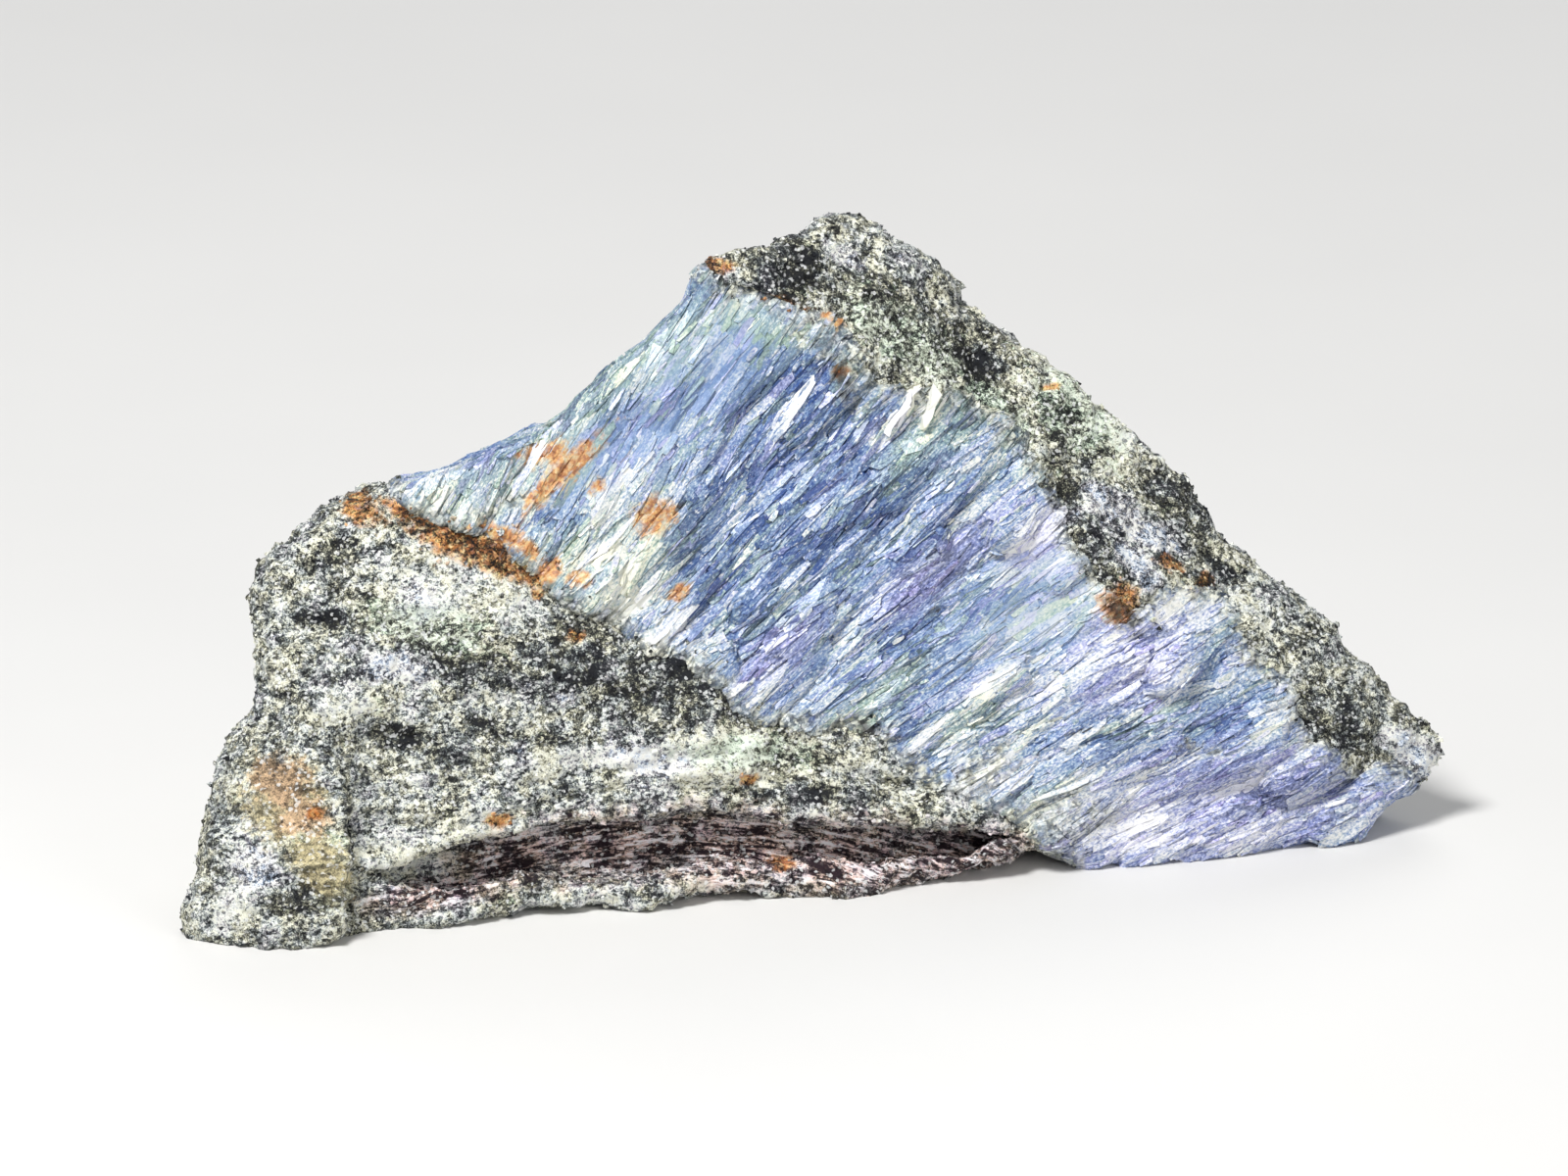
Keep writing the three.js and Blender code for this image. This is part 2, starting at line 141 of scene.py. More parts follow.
GNEISS_MARKS = {
    "dark": [
        (-20.4, 26.3, 13.0, 3.6, -16), (-12.5, 25.4, 7.0, 2.4, -33), (-3.6, 65.6, 5.0, 3.2, -20),
        (13.8, 57.7, 4.5, 2.8, -45), (5.0, 63.0, 4.0, 1.6, -35), (48.0, 22.0, 4.6, 3.2, -40),
        (-48.6, 31.9, 3.2, 1.1, 0), (24.6, 40.8, 6.4, 1.2, -62), (-33.0, 27.0, 6.0, 1.6, -10),
        (-39.0, 20.0, 6.0, 1.4, -20), (-47.0, 38.0, 2.6, 1.2, 30), (28.0, 35.8, 1.6, 1.2, 0),
        (36.0, 38.0, 5.0, 1.4, -45), (-30.0, 21.0, 7.0, 0.9, -8), (-2.0, 15.0, 9.0, 0.8, -4),
        (-50.0, 5.0, 4.0, 1.2, 10), (-33.5, 38.6, 6.5, 1.5, -26), (-38.0, 41.0, 3.4, 1.3, -14),
        (34.0, 43.0, 5.0, 2.2, -45), (32.8, 37.0, 1.8, 1.0, -30), (36.1, 35.3, 1.4, 0.9, 0),
        (-25.0, 31.5, 3.0, 1.6, -35),
    ],
    "mica": [
        (3.9, 21.1, 1.2, 0.9, 0), (-48.0, 32.0, 2.4, 0.6, 5), (-46.0, 26.0, 2.6, 0.6, 10),
        (-2.6, 65.2, 2.4, 1.8, 60), (14.2, 56.3, 2.4, 1.4, -45), (18.8, 46.8, 0.9, 0.7, 0),
        (22.4, 41.2, 2.4, 0.6, -58), (25.0, 36.6, 1.6, 0.6, -60), (46.0, 20.5, 1.8, 1.2, -50),
        # The thin lines of width 0.3 are painted shadow: the one at (-45.8, 12.0) is the shadow the left
        # facet casts at its right edge, and the five from (-31.7, 10.9) to (12.4, 10.4) are the shadow line
        # under the ledge's lip.
        (-15.0, 27.6, 2.6, 0.9, -30), (-24.0, 26.2, 2.0, 0.9, 0), (-45.8, 12.0, 4.6, 0.3, -82),
        (-31.7, 10.9, 5.8, 0.3, 15), (-19.5, 12.9, 6.6, 0.3, 5), (-8.7, 13.2, 4.2, 0.3, -4),
        (0.6, 12.1, 5.2, 0.3, -9), (12.4, 10.4, 6.6, 0.3, -7), (-33.0, 22.0, 1.6, 0.6, -20),
        (-40.0, 20.6, 1.8, 0.6, -30), (38.0, 36.5, 2.0, 0.7, -45), (-51.5, 24.5, 1.2, 0.6, 0),
        (-49.8, 15.6, 0.8, 0.5, 0),
    ],
    "pale": [
        (57.0, 19.2, 3.4, 1.6, -38), (-12.5, 16.8, 8.0, 2.2, -6), (-40.6, 9.2, 5.2, 1.9, 12),
        (-10.1, 19.7, 6.0, 1.8, -4), (-33.6, 34.2, 9.0, 3.4, -24), (-24.0, 18.5, 6.0, 1.3, 4),
        (20.0, 58.0, 5.0, 1.2, -46), (-45.0, 24.0, 3.5, 1.6, 30), (-56.0, 4.0, 2.0, 2.6, 0),
        (40.0, 33.0, 4.0, 1.0, -45), (6.5, 17.2, 5.0, 0.9, -10), (-34.0, 12.0, 5.0, 0.9, 14),
        (-22.0, 5.0, 8.0, 0.8, -2), (-12.0, 6.6, 4.0, 0.7, 8), (24.0, 54.0, 4.0, 2.0, -46),
        (28.0, 49.0, 4.0, 2.0, -46),
    ],
    "rust": [
        (-34.2, 39.0, 7.0, 2.0, -26), (-44.4, 42.4, 2.0, 1.5, -60), (-40.5, 42.1, 1.8, 0.9, -20),
        (-28.4, 36.4, 2.6, 1.2, -40), (-27.7, 34.1, 0.9, 0.7, 0), (-23.8, 30.1, 0.9, 0.7, 0),
        (-31.1, 12.7, 1.4, 0.6, 10), (-4.3, 8.4, 1.3, 0.8, 0), (-7.3, 16.5, 0.9, 0.6, 0),
        (-10.1, 65.4, 1.6, 0.7, 0), (-4.5, 61.9, 3.0, 0.7, -15), (32.8, 37.0, 1.4, 0.7, -30),
        (36.1, 35.3, 1.0, 0.6, 0), (28.6, 33.2, 1.6, 1.9, 0), (-29.0, 36.8, 2.6, 0.8, -40),
        (-48.5, 13.4, 0.8, 0.6, 0), (21.6, 54.0, 1.0, 0.4, 0),
    ],
    "facet": [  # the smooth tinted face at the left end
        (-51.6, 14.6, 3.8, 4.0, 0), (-48.2, 8.8, 4.4, 2.3, -60),
    ],
    "pink": [
        (-51.8, 16.4, 2.8, 2.4, 0), (-49.6, 12.8, 2.4, 2.0, 0),
    ],
    "umber_and_shade": [  # the brown layers under the ledge; their darkening is partly painted shade of the undercut
        (-37.0, 5.6, 5.6, 1.3, 10), (-29.5, 9.0, 6.0, 2.2, 16), (-20.0, 10.0, 9.0, 2.8, 4),
        (-9.0, 9.8, 8.0, 3.2, -2), (2.0, 8.8, 8.0, 3.2, -3), (12.0, 9.2, 7.0, 2.2, 0),
    ],
    "blue": [
        (25.8, 42.7, 1.7, 1.7, 0), (57.0, 18.8, 3.0, 1.4, -38), (31.0, 40.0, 3.6, 1.6, -35),
        (29.5, 36.8, 2.6, 1.2, -40), (-39.0, 33.0, 3.0, 1.4, 10), (-41.0, 27.5, 4.0, 1.6, -15),
        (-17.0, 18.5, 5.0, 1.2, 0), (-54.0, 8.0, 1.6, 2.4, 0), (1.5, 66.5, 2.2, 1.2, -30),
    ],
    "layered": [  # where thin layers stand out
        (-8.0, 13.0, 42.0, 6.5, 1), (-38.0, 8.0, 14.0, 5.0, 12),
    ],
    "green": [
        (7.5, 58.5, 8.0, 2.8, -35), (16.5, 51.0, 6.0, 2.2, -50), (-47.9, 8.6, 5.0, 2.2, -72),
        (-38.0, 31.0, 6.0, 2.4, -10), (-8.0, 19.0, 6.0, 1.6, 0), (24.0, 51.0, 6.0, 3.0, -46),
        (17.0, 48.0, 4.0, 2.4, -50),
    ],
}
REFLECTING_FACES = [  # broad cleavage faces, painted white as a reflection: across, up, length, width, turn in degrees
    (6.1, 51.3, 3.8, 1.25, 56), (7.0, 52.0, 5.2, 1.35, 57), (7.8, 52.9, 3.6, 1.0, 60),
    (9.75, 51.6, 4.4, 0.8, 72),
]
CREASES = [  # start, end and depth of the open cracks
    ((0.3, 49.6), (4.5, 45.4), 0.6),
    ((25.0, 20.0), (29.8, 21.2), 0.5),
]
CREASE_WIDTH = 0.45
MARK_EDGE = 1.6  # where a mark has faded out, in its half widths, from full at one less
MARK_DEPTH = 10.0  # how far a mark reaches into the rock
MARK_FADE = 3.0  # the last part of that depth, where it fades
BORDER_REACH = 3.0  # how far the vein and the walls mix


# Settings


def length_setting(name, description, millimetres):
    return FloatProperty(
        name=name, description=description, default=millimetres * MM, unit="LENGTH", precision=5)


def count_setting(name, description, count):
    return IntProperty(name=name, description=description, default=count, min=0)


def colour_setting(name, description, colour):
    return FloatVectorProperty(name=name, description=description, default=colour, subtype="COLOR")


class SpecimenSettings(bpy.types.PropertyGroup):
    """Sizes and colours of the specimen's surface."""

    wall_cell: length_setting("Wall cell", "Mesh spacing of the gneiss walls", 0.42)
    vein_cell: length_setting("Vein cell", "Mesh spacing of the kyanite mass", 0.42)
    wall_relief: length_setting("Wall relief", "Height of the broken lumps", 1.1)
    vein_relief: length_setting("Vein relief", "Height of the blade ridges", 0.3)
    closing: length_setting("Closing", "Outward growth that closes the seams", 0.3)
    border_rise: length_setting("Border rise", "How far the vein swells at its borders", 0.8)
    blade_count: count_setting("Blades", "Long blades on the vein", 3600)
    blade_length: length_setting("Blade length", "Length of a usual long blade", 5.6)
    blade_width: length_setting("Blade width", "Width of a usual long blade", 0.72)
    flake_count: count_setting("Flakes", "Short flakes between the blades", 9500)
    flake_length: length_setting("Flake length", "Length of a usual flake", 2.2)
    flake_width: length_setting("Flake width", "Width of a usual flake", 0.42)
    grain_count: count_setting("Grains", "Grains on both gneiss walls", 11000)
    grain_size: length_setting("Grain size", "Width of a usual grain", 0.33)
    deep_blue: colour_setting("Deep blue", "Darkest kyanite", (0.02, 0.062, 0.225))
    mid_blue: colour_setting("Mid blue", "Usual kyanite", (0.188, 0.286, 0.475))
    pale_blue: colour_setting("Pale blue", "Pale lavender kyanite", (0.475, 0.53, 0.595))
    lavender: colour_setting("Lavender", "Violet tint in the kyanite", (0.36, 0.34, 0.66))
    teal: colour_setting("Teal", "Green tint in the kyanite", (0.3, 0.42, 0.36))
    rust: colour_setting("Rust", "Iron stain", (0.43, 0.15, 0.038))
    mica: colour_setting("Mica", "Darkest gneiss grains", (0.01, 0.011, 0.014))
    grey_green: colour_setting("Grey green", "Usual gneiss", (0.2, 0.21, 0.19))
    feldspar: colour_setting("Feldspar", "Palest gneiss grains", (0.84, 0.84, 0.745))
    floor_colour: colour_setting("Floor", "Colour of the floor", (0.72, 0.71, 0.69))


def settings():
    return bpy.context.scene.specimen


# Meshes

MERGE_DISTANCE = 1e-7  # metres


def display_points(points):
    """World points, in metres, as display points in millimetres."""
    return (points - np.array(DISPLAY_ORIGIN)) @ np.array(DISPLAY_TURN) / MM


def front_height(across, up):
    """How far the broad front face stands towards the viewer."""
    past_rim = RIM_BEVEL["across"] * across + RIM_BEVEL["up"] * up - RIM_BEVEL["start"]
    return -FACE_TURN * across - RIM_BEVEL["slope"] * np.maximum(0, past_rim)


def even_mesh(node, cell):
    """A copy of a CAD node's form as a mesh of even cells, in a new object."""
    bm = bmesh.new()
    bm.from_mesh(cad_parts[node].data)
    bmesh.ops.remove_doubles(bm, verts=bm.verts, dist=MERGE_DISTANCE)
    source = bpy.data.meshes.new(node)
    bm.to_mesh(source)
    bm.free()
    piece = bpy.data.objects.new(node, source)
    bpy.context.scene.collection.objects.link(piece)
    remesh = piece.modifiers.new("Even cells", "REMESH")
    remesh.mode = "VOXEL"
    remesh.voxel_size = cell
    graph = bpy.context.evaluated_depsgraph_get()
    piece.data = bpy.data.meshes.new_from_object(piece.evaluated_get(graph))
    piece.modifiers.clear()
    return piece


def vertex_array(mesh, name="co"):
    values = np.empty(len(mesh.vertices) * 3, np.float32)
    mesh.vertices.foreach_get(name, values)
    return values.reshape(-1, 3).astype(float)


def set_vertices(mesh, points):
    """Moves the vertices, and none of them below the floor."""
    points[:, 2] = np.maximum(points[:, 2], 0)
    mesh.vertices.foreach_set("co", points.astype(np.float32).ravel())
    mesh.update()


def set_values(mesh, name, values):
    """A number for each vertex, which a material reads by name."""
    layer = mesh.attributes.new(name, "FLOAT", "POINT")
    layer.data.foreach_set("value", values.astype(np.float32))


def set_places(mesh, name, places):
    """A point for each vertex, which a material reads by name."""
    layer = mesh.attributes.new(name, "FLOAT_VECTOR", "POINT")
    layer.data.foreach_set("vector", places.astype(np.float32).ravel())


def smoothed(mesh, values, rounds):
    """Values of the vertices, averaged with their neighbours."""
    ends = np.empty(len(mesh.edges) * 2, np.int32)
    mesh.edges.foreach_get("vertices", ends)
    first, second = ends.reshape(-1, 2).T
    count = 1 + np.bincount(ends, minlength=len(values))
    for _ in range(rounds):
        total = values.copy()
        for axis in range(values.shape[1]):
            total[:, axis] += np.bincount(first, values[second, axis], len(values))
            total[:, axis] += np.bincount(second, values[first, axis], len(values))
        values = total / count[:, None]
    return values


def near_front(points):
    """1 for display points near the broad front face, falling to 0 behind it."""
    across, up, toward = points.T
    return np.clip((MARK_DEPTH - front_height(across, up) + toward) / MARK_FADE, 0, 1)


def mark_values(points, marks, wobble):
    """How strongly each display point lies in any of the marks, from 0 to 1."""
    across, up = points[:, 0], points[:, 1]
    strongest = np.zeros(len(points))
    for mark_across, mark_up, half_length, half_width, turn in marks:
        cos, sin = math.cos(math.radians(turn)), math.sin(math.radians(turn))
        along = (across - mark_across) * cos + (up - mark_up) * sin
        aside = (up - mark_up) * cos - (across - mark_across) * sin
        away = np.hypot(along / half_length, aside / half_width) + wobble
        strongest = np.maximum(strongest, np.clip(MARK_EDGE - away, 0, 1))
    return strongest * near_front(points)


def crease_depth(points):
    """Depth of the cracks at each display point."""
    depth = np.zeros(len(points))
    for start, end, deepest in CREASES:
        line = np.subtract(end, start)
        offset = points[:, :2] - start
        share = np.clip(offset @ line / (line @ line), 0, 1)
        away = np.linalg.norm(offset - share[:, None] * line, axis=1)
        depth = np.maximum(depth, deepest * np.exp(-(away / CREASE_WIDTH) ** 2))
    return depth * near_front(points)


def layer_points(points, node):
    """Display points as places in the rock's layers: along a layer, through the layers, and in depth."""
    turn, arch = LAYERS[node]
    cos, sin = math.cos(math.radians(turn)), math.sin(math.radians(turn))
    across, up, toward = points.T
    level = up - arch * np.exp(-((across - ARCH_MIDDLE) / ARCH_REACH) ** 2)
    return np.column_stack((across * cos + level * sin, level * cos - across * sin, toward))


def rock_walls():
    return [bpy.data.objects[node + "_rock"] for node in LAYERS]


def surface_tree(piece):
    """A piece's surface, as a tree that finds the nearest place on it."""
    return BVHTree.FromObject(piece, bpy.context.evaluated_depsgraph_get())


def border_values(piece):
    """1 where a vertex of the vein touches a wall, falling to 0 away from it."""
    trees = [surface_tree(rock) for rock in rock_walls()]
    away = [min(tree.find_nearest(vertex.co)[3] for tree in trees) for vertex in piece.data.vertices]
    return np.clip(1 - np.array(away) / (BORDER_REACH * MM), 0, 1)


def sample(function, points, size):
    """A noise function at every point, with its features of the given size."""
    return np.array([function(Vector(point)) for point in points / np.array(size)])


def finish_piece(piece, material, body, slot, *replaced):
    """Gives a piece its material and its body in the frame; its slot is not used."""
    piece.data.materials.clear()
    piece.data.materials.append(material)
    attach(piece, body)
    if replaced:
        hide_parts(*replaced)


# Nodes of the materials

# How a mark breaks up: the swing of its noise, its level and slope, and how soon it counts from its edge
PATCH_BREAKS, PATCH_LEVEL, PATCH_SLOPE, PATCH_INSIDE = 1.5, 0.4, 2.0, 4.0

# Plain noise: features for each metre, detail and roughness
PLAIN_NOISE = {
    "blotches": (230.0, 3.0, 0.6),
    "tints": (330.0, 6.0, 0.75),
    "patches": (450.0, 4.0, 0.65),
    "wall breaks": (700.0, 5.0, 0.7),
    "vein breaks": (900.0, 4.0, 0.65),
    "stain hues": (1400.0, 4.0, 0.75),
    "mottle": (1500.0, 5.0, 0.75),
    "stain spots": (1700.0, 4.0, 0.7),
    "flecks": (6500.0, 2.0, 0.6),
    "floor": (14.0, 3.0, 0.55),
}
# Noise along the layers: features for each millimetre along, through and in depth, detail and roughness
LAYER_NOISE = {
    "clumps": ((0.7, 0.8, 0.75), 7.0, 0.78),
    "streaks": ((0.36, 1.9, 0.7), 5.0, 0.7),
}
# Noise along the blades: features for each millimetre aside and along, detail and roughness
FIBRE_NOISE = {
    "tints": ((0.42, 0.16, 1.0), 6.0, 0.75),
    "broad": ((0.6, 0.15, 1.0), 3.0, 0.6),
    "streaks": ((2.2, 0.42, 1.0), 5.0, 0.7),
    "flakes": ((3.2, 1.1, 1.0), 4.0, 0.7),
    "sparks": ((4.4, 1.9, 1.0), 3.0, 0.75),
    "flecks": ((6.0, 2.8, 1.0), 2.0, 0.6),
}


class FinishNodes:
    """The nodes of a new material, with short ways to add them."""

    def __init__(self, name):
        self.material = bpy.data.materials.new(name)
        self.material.use_nodes = True
        self.tree = self.material.node_tree
        self.tree.nodes.clear()
        self.position = self.node("ShaderNodeTexCoord").outputs["Object"]

    def node(self, kind, options=None, inputs=None):
        """A node with its options set and its sockets filled, by their names or numbers."""
        node = self.tree.nodes.new(kind)
        for name, value in (options or {}).items():
            setattr(node, name, value)
        for name, value in (inputs or {}).items():
            self.fill(node.inputs[name], value)
        return node

    def fill(self, socket, value):
        """Links a socket to another one, or sets its value."""
        if isinstance(value, bpy.types.NodeSocket):
            self.tree.links.new(value, socket)
        elif socket.type == "RGBA":
            socket.default_value = (*value, 1)
        else:
            socket.default_value = value

    def worked(self, operation, *values, clamp=False):
        """The result of a Math node."""
        options = {"operation": operation, "use_clamp": clamp}
        return self.node("ShaderNodeMath", options, dict(enumerate(values))).outputs[0]

    def add(self, first, second, clamp=False):
        return self.worked("ADD", first, second, clamp=clamp)

    def multiply(self, first, second, clamp=False):
        return self.worked("MULTIPLY", first, second, clamp=clamp)

    def multiply_add(self, value, factor, addend, clamp=False):
        return self.worked("MULTIPLY_ADD", value, factor, addend, clamp=clamp)

    def drawn_to(self, share, value, goal):
        """A value drawn to a goal; a Mix node's numbers are its sockets 2 and 3."""
        return self.node("ShaderNodeMix", {}, {0: share, 2: value, 3: goal}).outputs[0]

    def blended(self, kind, share, first, second):
        """Two colours mixed by a blend type; a Mix node's colours are its sockets 6 and 7."""
        options = {"data_type": "RGBA", "blend_type": kind}
        return self.node("ShaderNodeMix", options, {0: share, 6: first, 7: second}).outputs[2]

    def mixed(self, share, first, second):
        return self.blended("MIX", share, first, second)

    def ramp(self, value, stops, colours):
        node = self.node("ShaderNodeValToRGB", {}, {"Fac": value})
        elements = node.color_ramp.elements
        while len(elements) < len(stops):
            elements.new(0.5)
        for element, stop, colour in zip(elements, stops, colours):
            element.position = stop
            element.color = (*colour, 1)
        return node.outputs[0]

    def attribute(self, name, output="Fac"):
        return self.node("ShaderNodeAttribute", {"attribute_name": name}).outputs[output]

    def stretched(self, vector, scale):
        return self.node("ShaderNodeMapping", {}, {"Vector": vector, "Scale": scale}).outputs[0]

    def noise(self, vector, scale, detail, roughness):
        inputs = {"Vector": vector, "Scale": scale, "Detail": detail, "Roughness": roughness}
        return self.node("ShaderNodeTexNoise", {}, inputs).outputs["Fac"]

    def plain_noise(self, name):
        return self.noise(self.position, *PLAIN_NOISE[name])

    def drawn_noise(self, vector, stretch, detail, roughness):
        """Noise that is drawn out along the blades or the layers."""
        return self.noise(self.stretched(vector, stretch), 1.0, detail, roughness)

    def chance(self, vector, scale):
        """A random value for each of many small cells."""
        cells = self.node("ShaderNodeTexVoronoi", {}, {"Vector": vector, "Scale": scale})
        return self.node("ShaderNodeSeparateColor", {}, {"Color": cells.outputs["Color"]}).outputs[0]

    def centred(self, value, amount):
        """A noise value made to swing about zero."""
        return self.multiply_add(value, amount, -0.5 * amount)

    def above(self, value, level, slope):
        """0 below a level and 1 soon above it, or the other way round if the slope is below zero."""
        return self.multiply_add(value, slope, -slope * level, clamp=True)

    def patchy(self, name, breaks, amount):
        """A mark's strength, broken up at its edge by a noise value."""
        value = self.add(self.attribute(name), self.centred(breaks, PATCH_BREAKS))
        inside = self.multiply(self.attribute(name), PATCH_INSIDE, clamp=True)
        return self.multiply(self.multiply(self.above(value, PATCH_LEVEL, PATCH_SLOPE), inside), amount)

    def finished(self, colour, roughness, height, bump, bump_distance, gloss):
        """The material, once its colour, roughness and bump are joined to its shader."""
        relief = {"Strength": bump, "Distance": bump_distance, "Height": height}
        normal = self.node("ShaderNodeBump", {}, relief).outputs[0]
        inputs = {"Base Color": colour, "Roughness": roughness, "Normal": normal, **gloss}
        shader = self.node("ShaderNodeBsdfPrincipled", {}, inputs)
        self.node("ShaderNodeOutputMaterial", {}, {"Surface": shader.outputs[0]})
        return self.material


def scaled(colour, share):
    return [share * part for part in colour]


# Stain and grains, which the minerals share

STAIN_STOPS = (0.4, 0.5, 0.6)
STAIN_WASH = ((0.5, 0.17, 0.07), (0.9, 0.42, 0.13), (0.97, 0.74, 0.4))
STAIN_STRENGTH = 0.95
STAIN_SPOTS = (0.5, 5.0)  # level and slope
DARK_RUST = 0.3  # share of the rust's colour
OCHRE_SHARE, OCHRE_LIFT = 1.25, 0.08  # how the rust's colour is made paler

GRAIN_CELLS = (2.8, 3.4, 3.1)  # for each millimetre along and through the layers, and in depth
GRAIN_SHARE, GRAIN_LIFT = 0.5, 0.3  # how far single grains differ, and their least value
CLUMP_SWING = 2.3  # how far clumps of grains differ
GRAIN_STOPS = (0.15, 0.3, 0.41, 0.52, 0.67, 0.9)
DARK_GREY, DIM_GREY, LIGHT_GREY = 0.26, 0.6, 0.5  # the last is a share of grey green and feldspar together
GREEN_PULL, BLUE_PULL = 0.14, -0.18  # how far the green and the blue marks move the tint
GNEISS_TINT = 0.85
GNEISS_TINTS = (  # where a tint lies in the noise, and its colour
    (0.28, (0.37, 0.46, 0.7)),
    (0.38, (0.5, 0.46, 0.55)),
    (0.45, (0.44, 0.49, 0.56)),
    (0.51, (0.51, 0.51, 0.47)),
    (0.59, (0.57, 0.53, 0.42)),
    (0.7, (0.45, 0.55, 0.43)),
)


def stained(nodes, colour, breaks):
    """Iron stain: it tints the pale grains and is opaque in its thickest spots."""
    rust = settings().rust
    hues = nodes.plain_noise("stain hues")
    wash = nodes.ramp(hues, STAIN_STOPS, STAIN_WASH)
    ochre = [min(1.0, OCHRE_SHARE * part + OCHRE_LIFT) for part in rust]
    thick = nodes.ramp(hues, STAIN_STOPS, (scaled(rust, DARK_RUST), rust, ochre))
    strength = nodes.patchy("rust", breaks, STAIN_STRENGTH)
    colour = nodes.blended("MULTIPLY", strength, colour, wash)
    spots = nodes.above(nodes.plain_noise("stain spots"), *STAIN_SPOTS)
    return nodes.mixed(nodes.multiply(spots, strength), colour, thick)


def speckle(nodes, place):
    """Grains in clumps of several sizes, from dark, 0, to pale, 1, and the value of each grain alone."""
    clumps = nodes.drawn_noise(place, *LAYER_NOISE["clumps"])
    grain = nodes.chance(nodes.stretched(place, GRAIN_CELLS), 1.0)
    value = nodes.multiply_add(grain, GRAIN_SHARE, GRAIN_LIFT)
    return nodes.add(nodes.centred(clumps, CLUMP_SWING), value), grain


def gneiss_colour(nodes, value):
    """Colours of the gneiss grains, from mica to feldspar, with bluish, cream and greenish places."""
    look = settings()
    grey, feldspar = look.grey_green, look.feldspar
    light = [LIGHT_GREY * (dark + pale) for dark, pale in zip(grey, feldspar)]
    grains = (look.mica, scaled(grey, DARK_GREY), scaled(grey, DIM_GREY), grey, light, feldspar)
    colour = nodes.ramp(value, GRAIN_STOPS, grains)
    places = nodes.multiply_add(nodes.attribute("green"), GREEN_PULL, nodes.plain_noise("tints"))
    places = nodes.multiply_add(nodes.attribute("blue"), BLUE_PULL, places)
    tint = nodes.ramp(places, *zip(*GNEISS_TINTS))
    return nodes.blended("OVERLAY", GNEISS_TINT, colour, tint)


# Kyanite material

# How far each noise moves a blade's tone
TONE_SWINGS = {"broad": 0.4, "streaks": 0.9, "flakes": 0.8, "flecks": 1.7}
WHITE_LIFT = 0.4
CALM_TONE, CALM_SHARE = 0.53, 0.6  # what the tone is drawn to in calm places, and how far
BLUE_STOPS = (0.0, 0.25, 0.48, 0.72, 0.95)
DARK_BLUE = (0.6, 0.4)  # shares of the deep and the mid blue
WHITE_LEVEL, WHITE_BLUE = 0.7, 0.1  # how the pale blue is made white

# Green and violet tints; an edge is a level of the noise and the slope there
TINT_STOPS = (0.1, 0.5, 0.9)
TINT_SHADE = 0.3
PALE_GREEN = (0.8, 0.79, 0.64)
PALE_VIOLET = (0.78, 0.77, 0.86)
HUE_SPREAD = 0.1
GREEN_EDGE, GREEN_SHARE, TEAL_SHARE = (0.51, 4.5), 0.75, 0.8
VIOLET_EDGE, VIOLET_SHARE, LAVENDER_SHARE = (0.45, -6.0), 0.5, 0.5

# White flakes, partly painted glints, and dark cracks between the blades, whose darkening is painted shade
SPARK_BREAKS = 0.35
SPARK_EDGE, SPARK_SHARE, FLAKE_GLINT_COLOUR = (0.59, 9.0), 0.8, (0.88, 0.88, 0.85)
CRACK_SHADE_EDGE, CRACK_SHADE_SHARE, CRACK_SHADE_BLUE = (0.36, -8.0), 0.4, 0.7
ROCK_SHARE = 0.85
HALO_SHARE, HALO = 0.6, (0.84, 0.8, 0.66)  # the pale rim of a stain
MICA_SHARE = 0.9
KYANITE_ROUGHNESS = (0.4, 0.25)  # swing and least
KYANITE_BUMP, KYANITE_BUMP_DISTANCE = 0.35, 0.12 * MM
KYANITE_GLOSS = {"Coat Weight": 0.2, "Coat Roughness": 0.2, "IOR": 1.5}


def kyanite_tints(nodes, tone, blue, noises):
    """Green and violet places in the blue, some by chance and some where they are marked."""
    look = settings()
    greens = (scaled(look.teal, TINT_SHADE), look.teal, PALE_GREEN)
    violets = (scaled(look.lavender, TINT_SHADE), look.lavender, PALE_VIOLET)
    tints = nodes.multiply_add(nodes.attribute("hue"), HUE_SPREAD, noises["tints"])
    green = nodes.multiply_add(nodes.attribute("teal"), TEAL_SHARE, nodes.above(tints, *GREEN_EDGE))
    green = nodes.multiply(green, GREEN_SHARE, clamp=True)
    colour = nodes.mixed(green, blue, nodes.ramp(tone, TINT_STOPS, greens))
    marked = nodes.multiply(nodes.attribute("lavender"), LAVENDER_SHARE)
    violet = nodes.multiply_add(nodes.above(tints, *VIOLET_EDGE), VIOLET_SHARE, marked, clamp=True)
    return nodes.mixed(violet, colour, nodes.ramp(tone, TINT_STOPS, violets))


def kyanite_glints_and_crack_shade(nodes, colour, noises, breaks, lively):
    """White flakes, partly painted glints, and dark specks, with painted shade in the cracks between the
    blades.
    """
    sparks = nodes.add(noises["sparks"], nodes.centred(breaks, SPARK_BREAKS))
    bright = nodes.multiply(nodes.above(sparks, *SPARK_EDGE), SPARK_SHARE)
    colour = nodes.mixed(nodes.multiply(bright, lively), colour, FLAKE_GLINT_COLOUR)
    pits = nodes.multiply(nodes.above(sparks, *CRACK_SHADE_EDGE), CRACK_SHADE_SHARE)
    between = nodes.above(noises["streaks"], *CRACK_SHADE_EDGE)
    crack_shade = nodes.multiply_add(between, CRACK_SHADE_SHARE, pits, clamp=True)
    dark = scaled(settings().deep_blue, CRACK_SHADE_BLUE)
    return nodes.mixed(nodes.multiply(crack_shade, lively), colour, dark)


